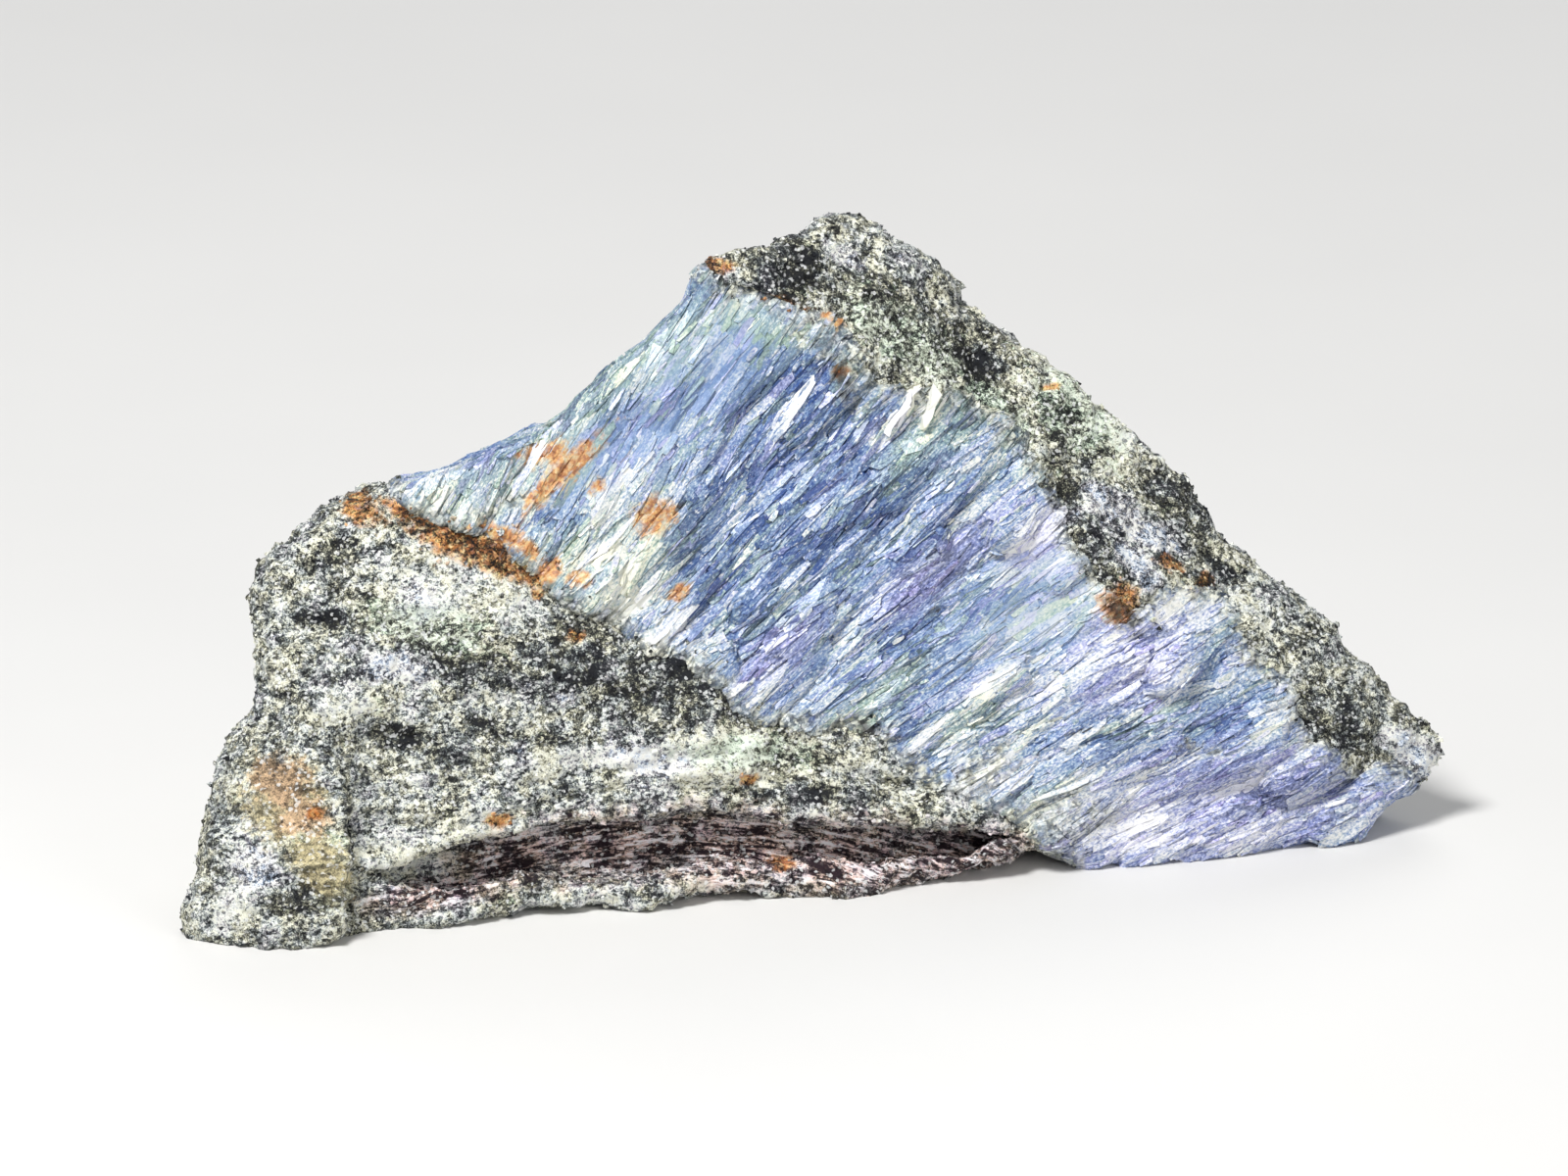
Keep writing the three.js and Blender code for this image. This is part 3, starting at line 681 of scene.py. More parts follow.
def kyanite_material():
    """Blue blades: a tone for each, streaks along them all, white flakes that are partly painted glints,
    painted shade in the cracks between them, and green and violet tints.
    """
    look = settings()
    nodes = FinishNodes("kyanite_surface")
    fibre = nodes.node("ShaderNodeUVMap", {"uv_map": "fibre"}).outputs[0]
    noises = {name: nodes.drawn_noise(fibre, *pattern) for name, pattern in FIBRE_NOISE.items()}
    breaks = nodes.plain_noise("vein breaks")
    tone = nodes.attribute("tone")
    for name, swing in TONE_SWINGS.items():
        tone = nodes.add(tone, nodes.centred(noises[name], swing))
    tone = nodes.add(nodes.patchy("white", noises["flakes"], WHITE_LIFT), tone, clamp=True)
    calm = nodes.multiply(nodes.attribute("calm"), CALM_SHARE)
    tone = nodes.drawn_to(calm, tone, CALM_TONE)
    deep_share, mid_share = DARK_BLUE
    dark_blue = [deep_share * deep + mid_share * mid for deep, mid in zip(look.deep_blue, look.mid_blue)]
    white = [WHITE_LEVEL + WHITE_BLUE * part for part in look.pale_blue]
    blues = (look.deep_blue, dark_blue, look.mid_blue, look.pale_blue, white)
    colour = kyanite_tints(nodes, tone, nodes.ramp(tone, BLUE_STOPS, blues), noises)
    colour = kyanite_glints_and_crack_shade(nodes, colour, noises, breaks, nodes.worked("SUBTRACT", 1.0, calm))
    millimetres = nodes.stretched(nodes.position, (1 / MM, 1 / MM, 1 / MM))
    rock = gneiss_colour(nodes, speckle(nodes, millimetres)[0])
    colour = nodes.mixed(nodes.patchy("border", breaks, ROCK_SHARE), colour, rock)
    colour = nodes.mixed(nodes.patchy("rust", breaks, HALO_SHARE), colour, HALO)
    colour = nodes.mixed(nodes.patchy("mica", breaks, MICA_SHARE), colour, look.mica)
    colour = stained(nodes, colour, breaks)
    roughness = nodes.multiply_add(noises["streaks"], *KYANITE_ROUGHNESS)
    height = nodes.add(noises["streaks"], noises["flakes"])
    return nodes.finished(colour, roughness, height, KYANITE_BUMP, KYANITE_BUMP_DISTANCE, KYANITE_GLOSS)


# Gneiss material

FLECK_SWING, BLOTCH_SWING = 1.5, 0.7
# How strongly layers show: in layered places, everywhere, and in the brown ones
LAYERING, PLAIN_LAYERING, UMBER_LAYERING = 1.1, 0.1, 1.6
# How far each mark moves the grains from dark to pale
# The mica marks also hold the thin painted shadow lines under the ledge's lip and beside the facet,
# darkened here.
VALUE_SHIFTS = {"dark": -0.25, "mica": -0.32, "pale": 0.24, "blue": 0.14}
FACET_VALUE, FACET_CALM = 0.63, 0.6
MARK_TINTS = (  # a kind of mark, how strong its tint is, and the tint
    ("green", 0.4, (0.36, 0.44, 0.38)),
    ("facet", 0.9, (0.59, 0.5, 0.28)),
    ("pink", 0.85, (0.66, 0.44, 0.27)),
)
# The brown layers under the ledge: their tint and dark bands are partly painted shade of the undercut, and
# the pale bands are white seams
UMBER_AND_SHADE_TINT = (1.0, 0.73, 0.78)
UMBER_AND_SHADE_BANDS = (  # level and slope of the streaks, share and colour
    ((0.52, -14.0), 0.95, (0.016, 0.006, 0.011)),
    ((0.54, 14.0), 0.9, (1.0, 0.97, 1.0)),
)
GLINT_CELLS = 3600.0  # for each metre
GLINT_EDGE, GLINT_SHARE, GLINT = (0.88, 16.0), 0.55, (0.93, 0.94, 0.93)
SHADE_EDGE, SHADE = (0.1, -16.0), (0.35, 0.35, 0.39)
GRAIN_HEIGHT = 0.5
GNEISS_ROUGHNESS = (0.4, 0.4)  # swing and least
GNEISS_BUMP, GNEISS_BUMP_DISTANCE = 0.6, 0.25 * MM
GNEISS_GLOSS = {"Specular IOR Level": 0.25}


def glinting(nodes, colour):
    """Small crystals that catch the light or lie in shade."""
    chance = nodes.chance(nodes.position, GLINT_CELLS)
    colour = nodes.blended("MULTIPLY", nodes.above(chance, *SHADE_EDGE), colour, SHADE)
    glint = nodes.multiply(nodes.above(chance, *GLINT_EDGE), GLINT_SHARE)
    return nodes.mixed(glint, colour, GLINT)


def gneiss_marks(nodes, colour, streaks):
    """Tinted places, the brown layers under the ledge with their dark and pale bands, which partly paint
    the undercut's shade, painted glints and shade specks, and iron stain.
    """
    mottle = nodes.plain_noise("mottle")
    for kind, strength, tint in MARK_TINTS:
        colour = nodes.blended("COLOR", nodes.patchy(kind, mottle, strength), colour, tint)
    umber_and_shade = nodes.attribute("umber_and_shade")
    colour = nodes.blended("MULTIPLY", umber_and_shade, colour, UMBER_AND_SHADE_TINT)
    for edge, share, band in UMBER_AND_SHADE_BANDS:
        inside = nodes.multiply(umber_and_shade, nodes.above(streaks, *edge))
        colour = nodes.mixed(nodes.multiply(inside, share), colour, band)
    return stained(nodes, glinting(nodes, colour), nodes.plain_noise("wall breaks"))


def gneiss_material():
    """Speckled rock: grains of mica, feldspar and quartz, drawn out along its layers."""
    nodes = FinishNodes("gneiss_surface")
    layers = nodes.attribute("layers", "Vector")
    clumps, grain = speckle(nodes, layers)
    flecks = nodes.plain_noise("flecks")
    streaks = nodes.drawn_noise(layers, *LAYER_NOISE["streaks"])
    value = nodes.add(clumps, nodes.centred(flecks, FLECK_SWING))
    value = nodes.add(value, nodes.attribute("tone"))
    value = nodes.add(value, nodes.centred(nodes.plain_noise("blotches"), BLOTCH_SWING))
    layering = nodes.multiply_add(nodes.attribute("layered"), LAYERING, PLAIN_LAYERING)
    layering = nodes.multiply_add(nodes.attribute("umber_and_shade"), UMBER_LAYERING, layering)
    value = nodes.add(value, nodes.multiply(layering, nodes.centred(streaks, 1.0)))
    patches = nodes.plain_noise("patches")
    for kind, shift in VALUE_SHIFTS.items():
        value = nodes.add(value, nodes.patchy(kind, patches, shift))
    value = nodes.drawn_to(nodes.multiply(nodes.attribute("facet"), FACET_CALM), value, FACET_VALUE)
    colour = gneiss_marks(nodes, gneiss_colour(nodes, value), streaks)
    roughness = nodes.multiply_add(grain, *GNEISS_ROUGHNESS)
    height = nodes.add(nodes.multiply_add(grain, GRAIN_HEIGHT, flecks), clumps)
    return nodes.finished(colour, roughness, height, GNEISS_BUMP, GNEISS_BUMP_DISTANCE, GNEISS_GLOSS)


# Gneiss walls

WALL_SIZES = {"swell": 5.5, "lump": 2.4, "layer": (10.0, 0.9, 5.0), "fine": 0.85}  # mm, of the relief
WALL_SHARES = {"swell": 0.7, "lump": 0.9, "layer": 0.8, "fine": 0.3}
LAYERED_LOSS = 0.5  # how much less the lumps stand out in layered places
WALL_ROUNDS = 3  # of smoothing the normals
FINE_WOBBLE, LUMP_WOBBLE = 0.5, 0.3  # how far the relief moves the edges of marks


def lumps(place):
    """Rounded lumps with creases between them."""
    return 0.5 - noise.voronoi(place)[0][0]


def wall(node, material):
    """One gneiss wall: lumps with creases between them, thin layers near the base and a broken grain."""
    look = settings()
    piece = even_mesh(node, look.wall_cell)
    mesh = piece.data
    points = vertex_array(mesh)
    places = display_points(points)
    normals = smoothed(mesh, vertex_array(mesh, "normal"), WALL_ROUNDS)
    layered = mark_values(places, GNEISS_MARKS["layered"], 0)
    layers = layer_points(places, node)
    swell = sample(noise.noise, places, WALL_SIZES["swell"])
    lump = sample(lumps, places, WALL_SIZES["lump"])
    layer = sample(noise.noise, layers, WALL_SIZES["layer"])
    fine = sample(noise.noise, places, WALL_SIZES["fine"])
    height = (WALL_SHARES["swell"] * swell + (WALL_SHARES["lump"] - LAYERED_LOSS * layered) * lump
              + WALL_SHARES["layer"] * layered * layer + WALL_SHARES["fine"] * fine)
    points += normals * (look.closing + look.wall_relief * height)[:, None]
    set_vertices(mesh, points)
    for kind, marks in GNEISS_MARKS.items():
        set_values(mesh, kind, mark_values(places, marks, FINE_WOBBLE * fine + LUMP_WOBBLE * lump))
    set_places(mesh, "layers", layers)
    set_values(mesh, "tone", np.zeros(len(points)))
    mesh.shade_smooth()
    piece.name = node + "_rock"
    finish_piece(piece, material, "root", "gneiss", node)


class SPECIMEN_OT_gneiss_walls(bpy.types.Operator):
    """Makes the lower and the upper gneiss wall"""

    bl_idname = "specimen.gneiss_walls"
    bl_label = "Gneiss walls"

    def execute(self, context):
        material = gneiss_material()
        for node in LAYERS:
            wall(node, material)
        return {"FINISHED"}


# Kyanite mass

VEIN_TINTS = ("white", "lavender", "teal", "rust", "mica", "calm")
VEIN_ROUNDS = 2  # of smoothing the normals
CALM_ROUNDS = 60  # of smoothing in the calm places
RIDGE_SIZE, THREAD_SIZE = (1.1, 8.0, 3.0), (0.5, 4.0, 1.5)  # mm, aside and along the blades, and in depth
THREAD_SHARE = 0.5
BROAD_SIZE, PATCH_SIZE = 9.0, (2.2, 6.5, 5.0)  # mm
# The usual tone, and how far broad noise, patches along the blades and the cracks move it; the darkening in
# the cracks is painted shade
MIDDLE_TONE, BROAD_TONE, PATCH_TONE, CREASE_SHADE_TONE = 0.5, 0.15, 0.4, -0.6
TONE_SHIFTS = {"deep": -0.24, "dim": -0.15, "pale": 0.18}
MASS_SHADE_TONE = -0.1  # painted shade: the mass, seen between the blades on it, is a little darker than they are
TONE_WOBBLE, MASS_WOBBLE = 0.3, 0.4  # how far the ridges move the edges of marks
ROCKY_SHARE = 0.7


def fan(places):
    """Fan angle and distance from the fan's centre, of display points."""
    across = places[:, 0] - FAN_CENTRE[0]
    up = places[:, 1] - FAN_CENTRE[1]
    return np.arctan2(up, across), np.hypot(across, up)


def fibre_points(places):
    """Display points as places in the fan: aside and along the blades, and in depth."""
    angle, distance = fan(places)
    return np.column_stack((angle * FAN_RADIUS, distance, places[:, 2]))


def set_fibre(mesh, fibre):
    """A UV map in millimetres, aside and along the blades."""
    corners = np.empty(len(mesh.loops), np.int32)
    mesh.loops.foreach_get("vertex_index", corners)
    layer = mesh.uv_layers.new(name="fibre")
    layer.data.foreach_set("uv", fibre[corners].astype(np.float32).ravel())


def kyanite_tone(places, wobble):
    """Tone of the kyanite from deep blue, 0, to white, 1, by where it is on the specimen."""
    broad = sample(noise.noise, places, BROAD_SIZE)
    patch = sample(noise.noise, fibre_points(places), PATCH_SIZE)
    # painted shade: the tone is darker in the cracks
    tone = MIDDLE_TONE + BROAD_TONE * broad + PATCH_TONE * patch + CREASE_SHADE_TONE * crease_depth(places)
    for kind, shift in TONE_SHIFTS.items():
        tone += shift * mark_values(places, KYANITE_MARKS[kind], wobble)
    return tone


def rock_mixed_in(border, places, wobble):
    """How much rock there is at each vertex of the vein: near the walls, and in the rocky marks."""
    rocky = mark_values(places, KYANITE_MARKS["rocky"], wobble)
    return np.maximum(border, ROCKY_SHARE * rocky)


def set_vein_tints(mesh, places, wobble):
    for kind in VEIN_TINTS:
        set_values(mesh, kind, mark_values(places, KYANITE_MARKS[kind], wobble))


class SPECIMEN_OT_kyanite_mass(bpy.types.Operator):
    """Makes the body of the vein, ridged along its blades"""

    bl_idname = "specimen.kyanite_mass"
    bl_label = "Kyanite mass"

    def execute(self, context):
        look = settings()
        piece = even_mesh("kyanite_blades", look.vein_cell)
        mesh = piece.data
        points = vertex_array(mesh)
        places = display_points(points)
        normals = smoothed(mesh, vertex_array(mesh, "normal"), VEIN_ROUNDS)
        calm = mark_values(places, KYANITE_MARKS["calm"], 0)
        points += calm[:, None] * (smoothed(mesh, points, CALM_ROUNDS) - points)
        border = border_values(piece)
        fibre = fibre_points(places)
        ridge = sample(noise.noise, fibre, RIDGE_SIZE)
        thread = sample(noise.noise, fibre, THREAD_SIZE)
        relief = look.vein_relief * (ridge + THREAD_SHARE * thread) - crease_depth(places) * MM
        relief += look.border_rise * border ** 2
        points += normals * (look.closing + relief)[:, None]
        set_vertices(mesh, points)
        set_values(mesh, "border", rock_mixed_in(border, places, MASS_WOBBLE * ridge))
        set_fibre(mesh, fibre[:, :2])
        set_values(mesh, "tone", kyanite_tone(places, TONE_WOBBLE * ridge) + MASS_SHADE_TONE)
        set_values(mesh, "hue", np.zeros(len(points)))
        set_vein_tints(mesh, places, MASS_WOBBLE * ridge)
        mesh.shade_smooth()
        piece.name = "kyanite_mass"
        finish_piece(piece, kyanite_material(), "root", "kyanite", "kyanite_blades")
        return {"FINISHED"}


# Small shapes that are repeated

BLADE_SHAPES, GRAIN_SHAPES = 8, 8
BLADE_END = 0.49  # a lath's corners past this are its ends
# Shares of a lath's length that its ends reach, and of its width there and between
END_REACH, END_WIDTH, SIDE_WIDTH = (0.7, 1.0), (0.5, 0.9), (0.85, 1.1)
GRAIN_CUBE, GRAIN_BREAK = 0.8, 0.2  # a grain's side, and how far its corners are moved


def shape_arrays(bm):
    """Corners and triangles of a small shape."""
    bmesh.ops.triangulate(bm, faces=bm.faces)
    bmesh.ops.recalc_face_normals(bm, faces=bm.faces)
    bm.verts.index_update()
    corners = np.array([vertex.co for vertex in bm.verts])
    faces = np.array([[vertex.index for vertex in face.verts] for face in bm.faces])
    bm.free()
    return corners, faces


def blade_shape(seed, steps):
    """A flat lath of unit length and width with broken ends: its top at height 1 and its root at 0."""
    pick = random.Random(seed)
    bm = bmesh.new()
    bmesh.ops.create_grid(bm, x_segments=steps, y_segments=1, size=0.5)
    for vertex in bm.verts:
        end = abs(vertex.co.x) > BLADE_END
        vertex.co.x *= pick.uniform(*END_REACH) if end else 1
        vertex.co.y *= pick.uniform(*END_WIDTH) if end else pick.uniform(*SIDE_WIDTH)
    grown = bmesh.ops.extrude_face_region(bm, geom=bm.faces[:])["geom"]
    top = [part for part in grown if isinstance(part, bmesh.types.BMVert)]
    bmesh.ops.translate(bm, verts=top, vec=(0, 0, 1))
    return shape_arrays(bm)


def grain_shape(seed):
    """An angular grain about one unit wide."""
    pick = random.Random(seed)
    bm = bmesh.new()
    bmesh.ops.create_cube(bm, size=GRAIN_CUBE)
    for vertex in bm.verts:
        vertex.co += Vector([pick.uniform(-GRAIN_BREAK, GRAIN_BREAK) for _ in range(3)])
    return shape_arrays(bm)


def joined_copies(name, shapes, copies):
    """One object of many copies of small shapes: each copy is a shape's number and a 4 by 4 matrix.

    Also gives each vertex's copy and its place in its shape.
    """
    corners, faces, owner, local = [], [], [], []
    start = 0
    for number, (shape, matrix) in enumerate(copies):
        shape_corners, shape_faces = shapes[shape]
        corners.append(shape_corners @ matrix[:3, :3].T + matrix[:3, 3])
        faces.append(shape_faces + start)
        owner.append(np.full(len(shape_corners), number))
        local.append(shape_corners)
        start += len(shape_corners)
    mesh = bpy.data.meshes.new(name)
    mesh.from_pydata(np.concatenate(corners), [], np.concatenate(faces))
    piece = bpy.data.objects.new(name, mesh)
    bpy.context.scene.collection.objects.link(piece)
    return piece, np.concatenate(owner), np.concatenate(local)


# Open spots on a surface

SPOT_ROUNDS = 10  # of smoothing the normals
BASE_HEIGHT, DOWNWARD = 0.3 * MM, -0.5  # a lower spot that faces further down than this is on the base
RAY_START = 0.5 * MM


def open_spots(piece, others, count, seed, clearance):
    """Vertices of a piece, picked at random, that no neighbour covers: their places and smooth normals."""
    mesh = piece.data
    points = vertex_array(mesh)
    normals = smoothed(mesh, vertex_array(mesh, "normal"), SPOT_ROUNDS)
    normals /= np.linalg.norm(normals, axis=1)[:, None]
    trees = [surface_tree(other) for other in others]
    pick = random.Random(seed)
    spots = []
    while len(spots) < count:
        number = pick.randrange(len(points))
        point, normal = points[number], normals[number]
        if point[2] < BASE_HEIGHT and normal[2] < DOWNWARD:
            continue
        start = Vector(point + RAY_START * normal)
        if any(tree.ray_cast(start, Vector(normal), clearance)[0] for tree in trees):
            continue
        spots.append((point, normal))
    return spots


# Kyanite blades

BLADE_CLEARANCE = 3 * MM  # free space over a spot
BLADE_SPREAD = math.radians(6)  # about the fan's direction
LENGTH_SPREAD, WIDTH_SPREAD = 0.4, 0.45
BLADE_SLIMNESS = 3.5  # the least length beside the width
BLADE_CUTS = (1.0, 0.5, 0.25)  # a blade that doesn't lie flat is tried again at these shares of its length
BLADE_SLACK = 0.8 * MM  # how far a blade's end may be from the surface before it is laid on it
BLADE_FACING = 0.6  # the least cosine between a blade and the surface at its ends
END_ON = 0.3  # a shorter direction along the surface can't guide a blade
BLADE_ROOT = -0.35  # mm, the depth of a blade's underside
BLADE_RISE = (0.04, 0.32)  # mm, the height of a blade's top
BLADE_ROLL = 0.15  # mm, how far one long side stands over the other
BLADE_PITCH = 0.06  # mm, how far one end stands over the other
CALM_FLATNESS = 0.4  # how much lower the blades stand in the calm places
REFLECTION_TONE = 1.3  # the painted reflection on the cleavage faces, past white, so that no noise darkens it much
FACE_RISE = 1.1  # mm
BLADE_WOBBLE = 0.2
TONE_SPREAD = 0.12
BRIGHT_CHANCE, BRIGHT_TONE = 0.1, 0.2
FIBRE_SHIFT = (0.5, 3.0)  # mm aside and along, by which the streaks differ from blade to blade
BLADE_STEPS, FLAKE_STEPS = 3, 2
BLADE_SEEDS, FLAKE_SEEDS = (5, 6), (7, 8)  # of the spots and of the shapes


def blade_matrix(point, normal, angle, length, width):
    """Sets a blade on a spot, along the fan; its third axis is left as the height above the spot."""
    along = DISPLAY_TURN @ Vector((math.cos(angle), math.sin(angle), 0))
    up = Vector(normal)
    along = along - along.dot(up) * up
    if along.length < END_ON:
        along = up.orthogonal()
    along.normalize()
    turn = Matrix((along, up.cross(along), up)).transposed()
    return np.array(Matrix.Translation(point) @ turn.to_4x4() @ Matrix.Diagonal((length, width, 0, 1)))


def lies_flat(tree, matrix):
    """Whether both ends of a blade are near the surface, and the surface there faces as the blade does."""
    middle, half, up = matrix[:3, 3], 0.5 * matrix[:3, 0], np.cross(matrix[:3, 0], matrix[:3, 1])
    up /= np.linalg.norm(up)
    for end in (middle - half, middle + half):
        _, normal, _, away = tree.find_nearest(Vector(end))
        if away > BLADE_SLACK or np.dot(normal, up) < BLADE_FACING:
            return False
    return True


def lay_on(piece, base, heights):
    """Moves the vertices of a piece to the base's surface, each at its own height over it."""
    tree = surface_tree(base)
    points = vertex_array(piece.data)
    for number, point in enumerate(points):
        nearest, normal, _, _ = tree.find_nearest(Vector(point))
        points[number] = nearest + float(heights[number]) * normal
    set_vertices(piece.data, points)


def reflecting_face_spots(tree):
    """The marked cleavage faces, which carry a painted reflection: a spot on the vein, an angle, a length
    and a width for each.
    """
    spots = []
    for across, up, length, width, turn in REFLECTING_FACES:
        point = DISPLAY @ (Vector((across, up, front_height(across, up))) * MM)
        nearest, normal, _, _ = tree.find_nearest(point)
        spots.append((np.array(nearest), np.array(normal), math.radians(turn), length * MM, width * MM))
    return spots


def fan_spots(mass, tree, count, size, seed):
    """Blades along the fan on open spots, of about the given length and width."""
    pick = random.Random(seed)
    spots = []
    for point, normal in open_spots(mass, rock_walls(), count, seed, BLADE_CLEARANCE):
        angle = fan(display_points(point[None]))[0][0] + pick.gauss(0, BLADE_SPREAD)
        length = size[0] * pick.lognormvariate(0, LENGTH_SPREAD)
        width = size[1] * pick.lognormvariate(0, WIDTH_SPREAD)
        for share in BLADE_CUTS:
            slim = min(math.sqrt(share) * width, share * length / BLADE_SLIMNESS)
            spot = (point, normal, angle, share * length, slim)
            if lies_flat(tree, blade_matrix(*spot)):
                spots.append(spot)
                break
    return spots


def blade_rise(pick):
    """How high a blade stands, and how far its sides and its ends differ in height."""
    return pick.uniform(*BLADE_RISE), pick.gauss(0, BLADE_ROLL), pick.gauss(0, BLADE_PITCH)


def blade_layer(name, mass, spots, steps, faces, seed):
    """One object of many blades laid on the vein. The first ones, the cleavage faces, are painted white as
    a reflection.
    """
    pick = random.Random(seed)
    shapes = [blade_shape(number, steps) for number in range(BLADE_SHAPES)]
    copies = [(pick.randrange(BLADE_SHAPES), blade_matrix(*spot)) for spot in spots]
    rises = [blade_rise(pick) for _ in spots]
    rises[:faces] = [(FACE_RISE, 0, 0)] * faces
    chance = np.array([pick.gauss(0, 1) for _ in spots])
    bright = np.array([pick.random() < BRIGHT_CHANCE for _ in spots])
    hue = np.array([pick.gauss(0, 1) for _ in spots])
    piece, owner, local = joined_copies(name, shapes, copies)
    centres = display_points(np.array([spot[0] for spot in spots]))
    flatness = 1 - CALM_FLATNESS * mark_values(centres, KYANITE_MARKS["calm"], 0)
    rise, roll, pitch = (np.array(rises) * flatness[:, None])[owner].T
    top = rise + roll * local[:, 1] + pitch * local[:, 0]
    lay_on(piece, mass, np.where(local[:, 2] > 0.5, top, BLADE_ROOT) * MM)
    mesh = piece.data
    places = display_points(vertex_array(mesh))
    wobble = BLADE_WOBBLE * chance
    tone = kyanite_tone(centres, wobble) + TONE_SPREAD * chance + BRIGHT_TONE * bright
    tone = np.clip(tone, 0, 1)
    # painted reflection: the cleavage faces are white
    tone[:faces] = REFLECTION_TONE
    set_fibre(mesh, fibre_points(places)[:, :2] + chance[owner, None] * FIBRE_SHIFT)
    set_values(mesh, "tone", tone[owner])
    set_values(mesh, "hue", hue[owner])
    border = rock_mixed_in(border_values(piece), places, wobble[owner])
    set_values(mesh, "border", np.where(owner < faces, 0, border))
    set_vein_tints(mesh, places, wobble[owner])
    mesh.shade_flat()
    finish_piece(piece, mass.data.materials[0], "root", "kyanite")


class SPECIMEN_OT_kyanite_blades(bpy.types.Operator):
    """Covers the vein with long blades, and with short flakes between them"""

    bl_idname = "specimen.kyanite_blades"
    bl_label = "Kyanite blades"

    def execute(self, context):
        look = settings()
        mass = bpy.data.objects["kyanite_mass"]
        tree = surface_tree(mass)
        faces = reflecting_face_spots(tree)
        blade_size = (look.blade_length, look.blade_width)
        blades = fan_spots(mass, tree, look.blade_count, blade_size, BLADE_SEEDS[0])
        blade_layer("kyanite_fine_blades", mass, faces + blades, BLADE_STEPS, len(faces), BLADE_SEEDS[1])
        flake_size = (look.flake_length, look.flake_width)
        flakes = fan_spots(mass, tree, look.flake_count, flake_size, FLAKE_SEEDS[0])
        blade_layer("kyanite_flakes", mass, flakes, FLAKE_STEPS, 0, FLAKE_SEEDS[1])
        return {"FINISHED"}


# Gneiss grains

WALL_GRAINS = (("lower_gneiss", 0.68, 21), ("upper_gneiss", 0.32, 31))  # a wall, its share and its seed
GRAIN_CLEARANCE = 2 * MM  # free space over a spot
GRAIN_SPREAD = 0.3
GRAIN_SIDES = ((0.7, 1.4), (0.6, 1.1), (0.4, 0.9))  # length, width and height, in a grain's size
GRAIN_SINK = (-0.15, 0.12)  # how far a grain's middle stands out, in its own size
GRAIN_WOBBLE = 0.25
GRAIN_TONE = 0.16
FACET_EDGE = 0.5  # the facet has no grains where its mark is stronger
BORDER_PART = 4  # one grain on the vein's border for this many on the wall


def grain_matrix(point, normal, pick, size):
    """Half buries a grain in the rock, turned any way."""
    turn = Matrix.Rotation(pick.uniform(0, 2 * math.pi), 4, Vector([pick.gauss(0, 1) for _ in range(3)]))
    sides = [size * pick.uniform(*side) for side in GRAIN_SIDES]
    centre = Vector(point) + pick.uniform(*GRAIN_SINK) * size * Vector(normal)
    return np.array(Matrix.Translation(centre) @ turn @ Matrix.Diagonal((*sides, 1)))


def border_spots(vein, rock, count, seed):
    """Places on the vein near a wall, closer together towards it."""
    tree = surface_tree(rock)
    pick = random.Random(seed)
    points, normals = vertex_array(vein.data), vertex_array(vein.data, "normal")
    spots = []
    while len(spots) < count:
        number = pick.randrange(len(points))
        away = tree.find_nearest(Vector(points[number]))[3]
        if away < pick.random() ** 2 * BORDER_REACH * MM:
            spots.append((points[number], normals[number]))
    return spots


def wall_grains(node, vein, count, seed):
    """Grains that stand out of one gneiss wall, and its last few on the vein."""
    rock = bpy.data.objects[node + "_rock"]
    pick = random.Random(seed)
    shapes = [grain_shape(number) for number in range(GRAIN_SHAPES)]
    spots = open_spots(rock, [vein], count, seed + 1, GRAIN_CLEARANCE)
    facet = mark_values(display_points(np.array([point for point, _ in spots])), GNEISS_MARKS["facet"], 0)
    spots = [spot for spot, share in zip(spots, facet) if share < FACET_EDGE]
    spots += border_spots(vein, rock, count // BORDER_PART, seed + 2)
    copies = []
    for point, normal in spots:
        size = settings().grain_size * pick.lognormvariate(0, GRAIN_SPREAD)
        copies.append((pick.randrange(GRAIN_SHAPES), grain_matrix(point, normal, pick, size)))
    piece, owner, _ = joined_copies(node + "_grains", shapes, copies)
    mesh = piece.data
    set_vertices(mesh, vertex_array(mesh))
    centres = display_points(np.array([matrix[:3, 3] for _, matrix in copies]))
    chance = np.array([pick.gauss(0, 1) for _ in copies])
    tone = GRAIN_TONE * np.array([pick.gauss(0, 1) for _ in copies])
    for kind, marks in GNEISS_MARKS.items():
        set_values(mesh, kind, mark_values(centres, marks, GRAIN_WOBBLE * chance)[owner])
    set_places(mesh, "layers", layer_points(centres, node)[owner])
    set_values(mesh, "tone", tone[owner])
    mesh.shade_flat()
    finish_piece(piece, rock.data.materials[0], "root", "gneiss")


class SPECIMEN_OT_gneiss_grains(bpy.types.Operator):
    """Sets grains in both gneiss walls"""

    bl_idname = "specimen.gneiss_grains"
    bl_label = "Gneiss grains"

    def execute(self, context):
        vein = bpy.data.objects["kyanite_mass"]
        for node, share, seed in WALL_GRAINS:
            wall_grains(node, vein, int(share * settings().grain_count), seed)
        return {"FINISHED"}


# Stage

VIEW_CENTRE = (-4.0, 34.7)  # the point of the display plane at the middle of the picture
VIEW_WIDTH = 150 * MM  # how much of the display plane the picture takes in
LENS, SENSOR = 400.0, 36.0  # mm
LIGHT_TARGET = (0, 0, 0.03)
LIGHTS = (  # name, place, size and power
    ("key", (-0.22, -0.3, 0.58), 0.2, 5.4),
    ("fill", (0.5, -0.5, 0.25), 0.5, 1.5),
    ("back", (0.1, 0.6, 0.5), 0.5, 1.4),
)
SKY, SKY_STRENGTH = (0.9, 0.94, 1.0, 1), 0.26
FLOOR_SIZE = 3.0
FLOOR_STOPS, FLOOR_SHADE = (0.3, 0.7), 0.97
FLOOR_ROUGHNESS = 0.7
FLOOR_BUMP, FLOOR_BUMP_DISTANCE = 0.02, 0.1 * MM


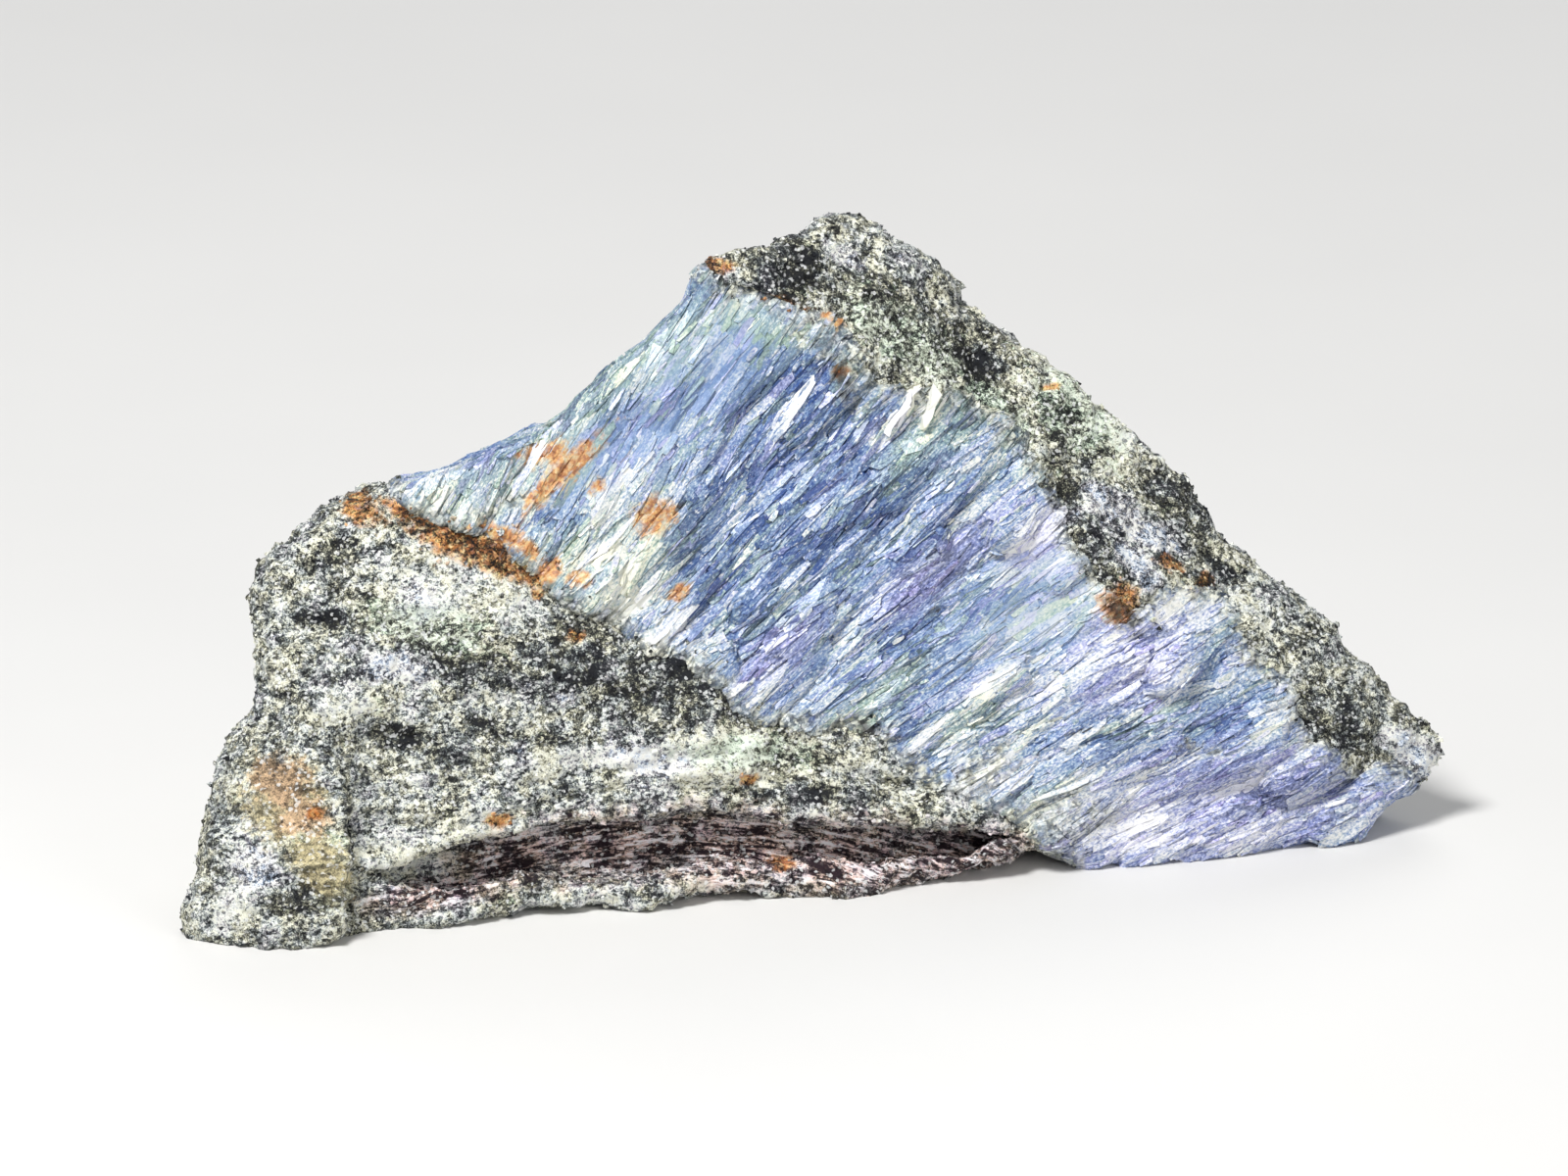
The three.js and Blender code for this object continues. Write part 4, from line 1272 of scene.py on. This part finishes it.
def add_camera():
    camera = bpy.data.cameras.new("camera")
    camera.lens = LENS
    camera.sensor_width = SENSOR
    viewer = bpy.data.objects.new("camera", camera)
    distance = VIEW_WIDTH * LENS / SENSOR
    viewer.matrix_world = DISPLAY @ Matrix.Translation((VIEW_CENTRE[0] * MM, VIEW_CENTRE[1] * MM, distance))
    bpy.context.scene.collection.objects.link(viewer)
    bpy.context.scene.camera = viewer


def add_light(name, place, size, power):
    light = bpy.data.lights.new(name, "AREA")
    light.shape = "DISK"
    light.size = size
    light.energy = power
    lamp = bpy.data.objects.new(name, light)
    lamp.location = place
    lamp.rotation_euler = (Vector(LIGHT_TARGET) - Vector(place)).to_track_quat("-Z", "Y").to_euler()
    bpy.context.scene.collection.objects.link(lamp)


def add_sky():
    world = bpy.data.worlds.new("studio")
    world.use_nodes = True
    background = world.node_tree.nodes["Background"]
    background.inputs["Color"].default_value = SKY
    background.inputs["Strength"].default_value = SKY_STRENGTH
    bpy.context.scene.world = world


def floor_material():
    """Plain pale floor, a little cloudy."""
    nodes = FinishNodes("floor")
    cloud = nodes.plain_noise("floor")
    pale = settings().floor_colour
    colour = nodes.ramp(cloud, FLOOR_STOPS, (scaled(pale, FLOOR_SHADE), pale))
    return nodes.finished(colour, FLOOR_ROUGHNESS, cloud, FLOOR_BUMP, FLOOR_BUMP_DISTANCE, {})


def add_floor():
    bm = bmesh.new()
    bmesh.ops.create_grid(bm, x_segments=2, y_segments=2, size=FLOOR_SIZE)
    mesh = bpy.data.meshes.new("floor")
    bm.to_mesh(mesh)
    bm.free()
    mesh.materials.append(floor_material())
    floor = bpy.data.objects.new("floor", mesh)
    bpy.context.scene.collection.objects.link(floor)


class SPECIMEN_OT_stage(bpy.types.Operator):
    """Makes the floor, the soft lights and the camera"""

    bl_idname = "specimen.stage"
    bl_label = "Stage"

    def execute(self, context):
        add_floor()
        for light in LIGHTS:
            add_light(*light)
        add_sky()
        context.scene.view_settings.view_transform = "Standard"
        add_camera()
        return {"FINISHED"}


# Registration


class SPECIMEN_PT_panel(bpy.types.Panel):
    """Lists the specimen's sizes, colours and operators"""

    bl_idname = "SPECIMEN_PT_panel"
    bl_label = "Kyanite Blade Cluster"
    bl_space_type = "VIEW_3D"
    bl_region_type = "UI"
    bl_category = "Mineral"

    def draw(self, context):
        for name in SpecimenSettings.__annotations__:
            self.layout.prop(context.scene.specimen, name)
        for operator in OPERATORS:
            self.layout.operator(operator.bl_idname)


OPERATORS = (
    SPECIMEN_OT_gneiss_walls,
    SPECIMEN_OT_kyanite_mass,
    SPECIMEN_OT_kyanite_blades,
    SPECIMEN_OT_gneiss_grains,
    SPECIMEN_OT_stage,
)
CLASSES = (SpecimenSettings, *OPERATORS, SPECIMEN_PT_panel)


def register():
    for each in CLASSES:
        bpy.utils.register_class(each)
    bpy.types.Scene.specimen = PointerProperty(type=SpecimenSettings)


def unregister():
    del bpy.types.Scene.specimen
    for each in reversed(CLASSES):
        bpy.utils.unregister_class(each)


def main():
    register()
    bpy.ops.specimen.gneiss_walls()
    bpy.ops.specimen.kyanite_mass()
    bpy.ops.specimen.kyanite_blades()
    bpy.ops.specimen.gneiss_grains()
    bpy.ops.specimen.stage()


if __name__ == "__main__":
    main()
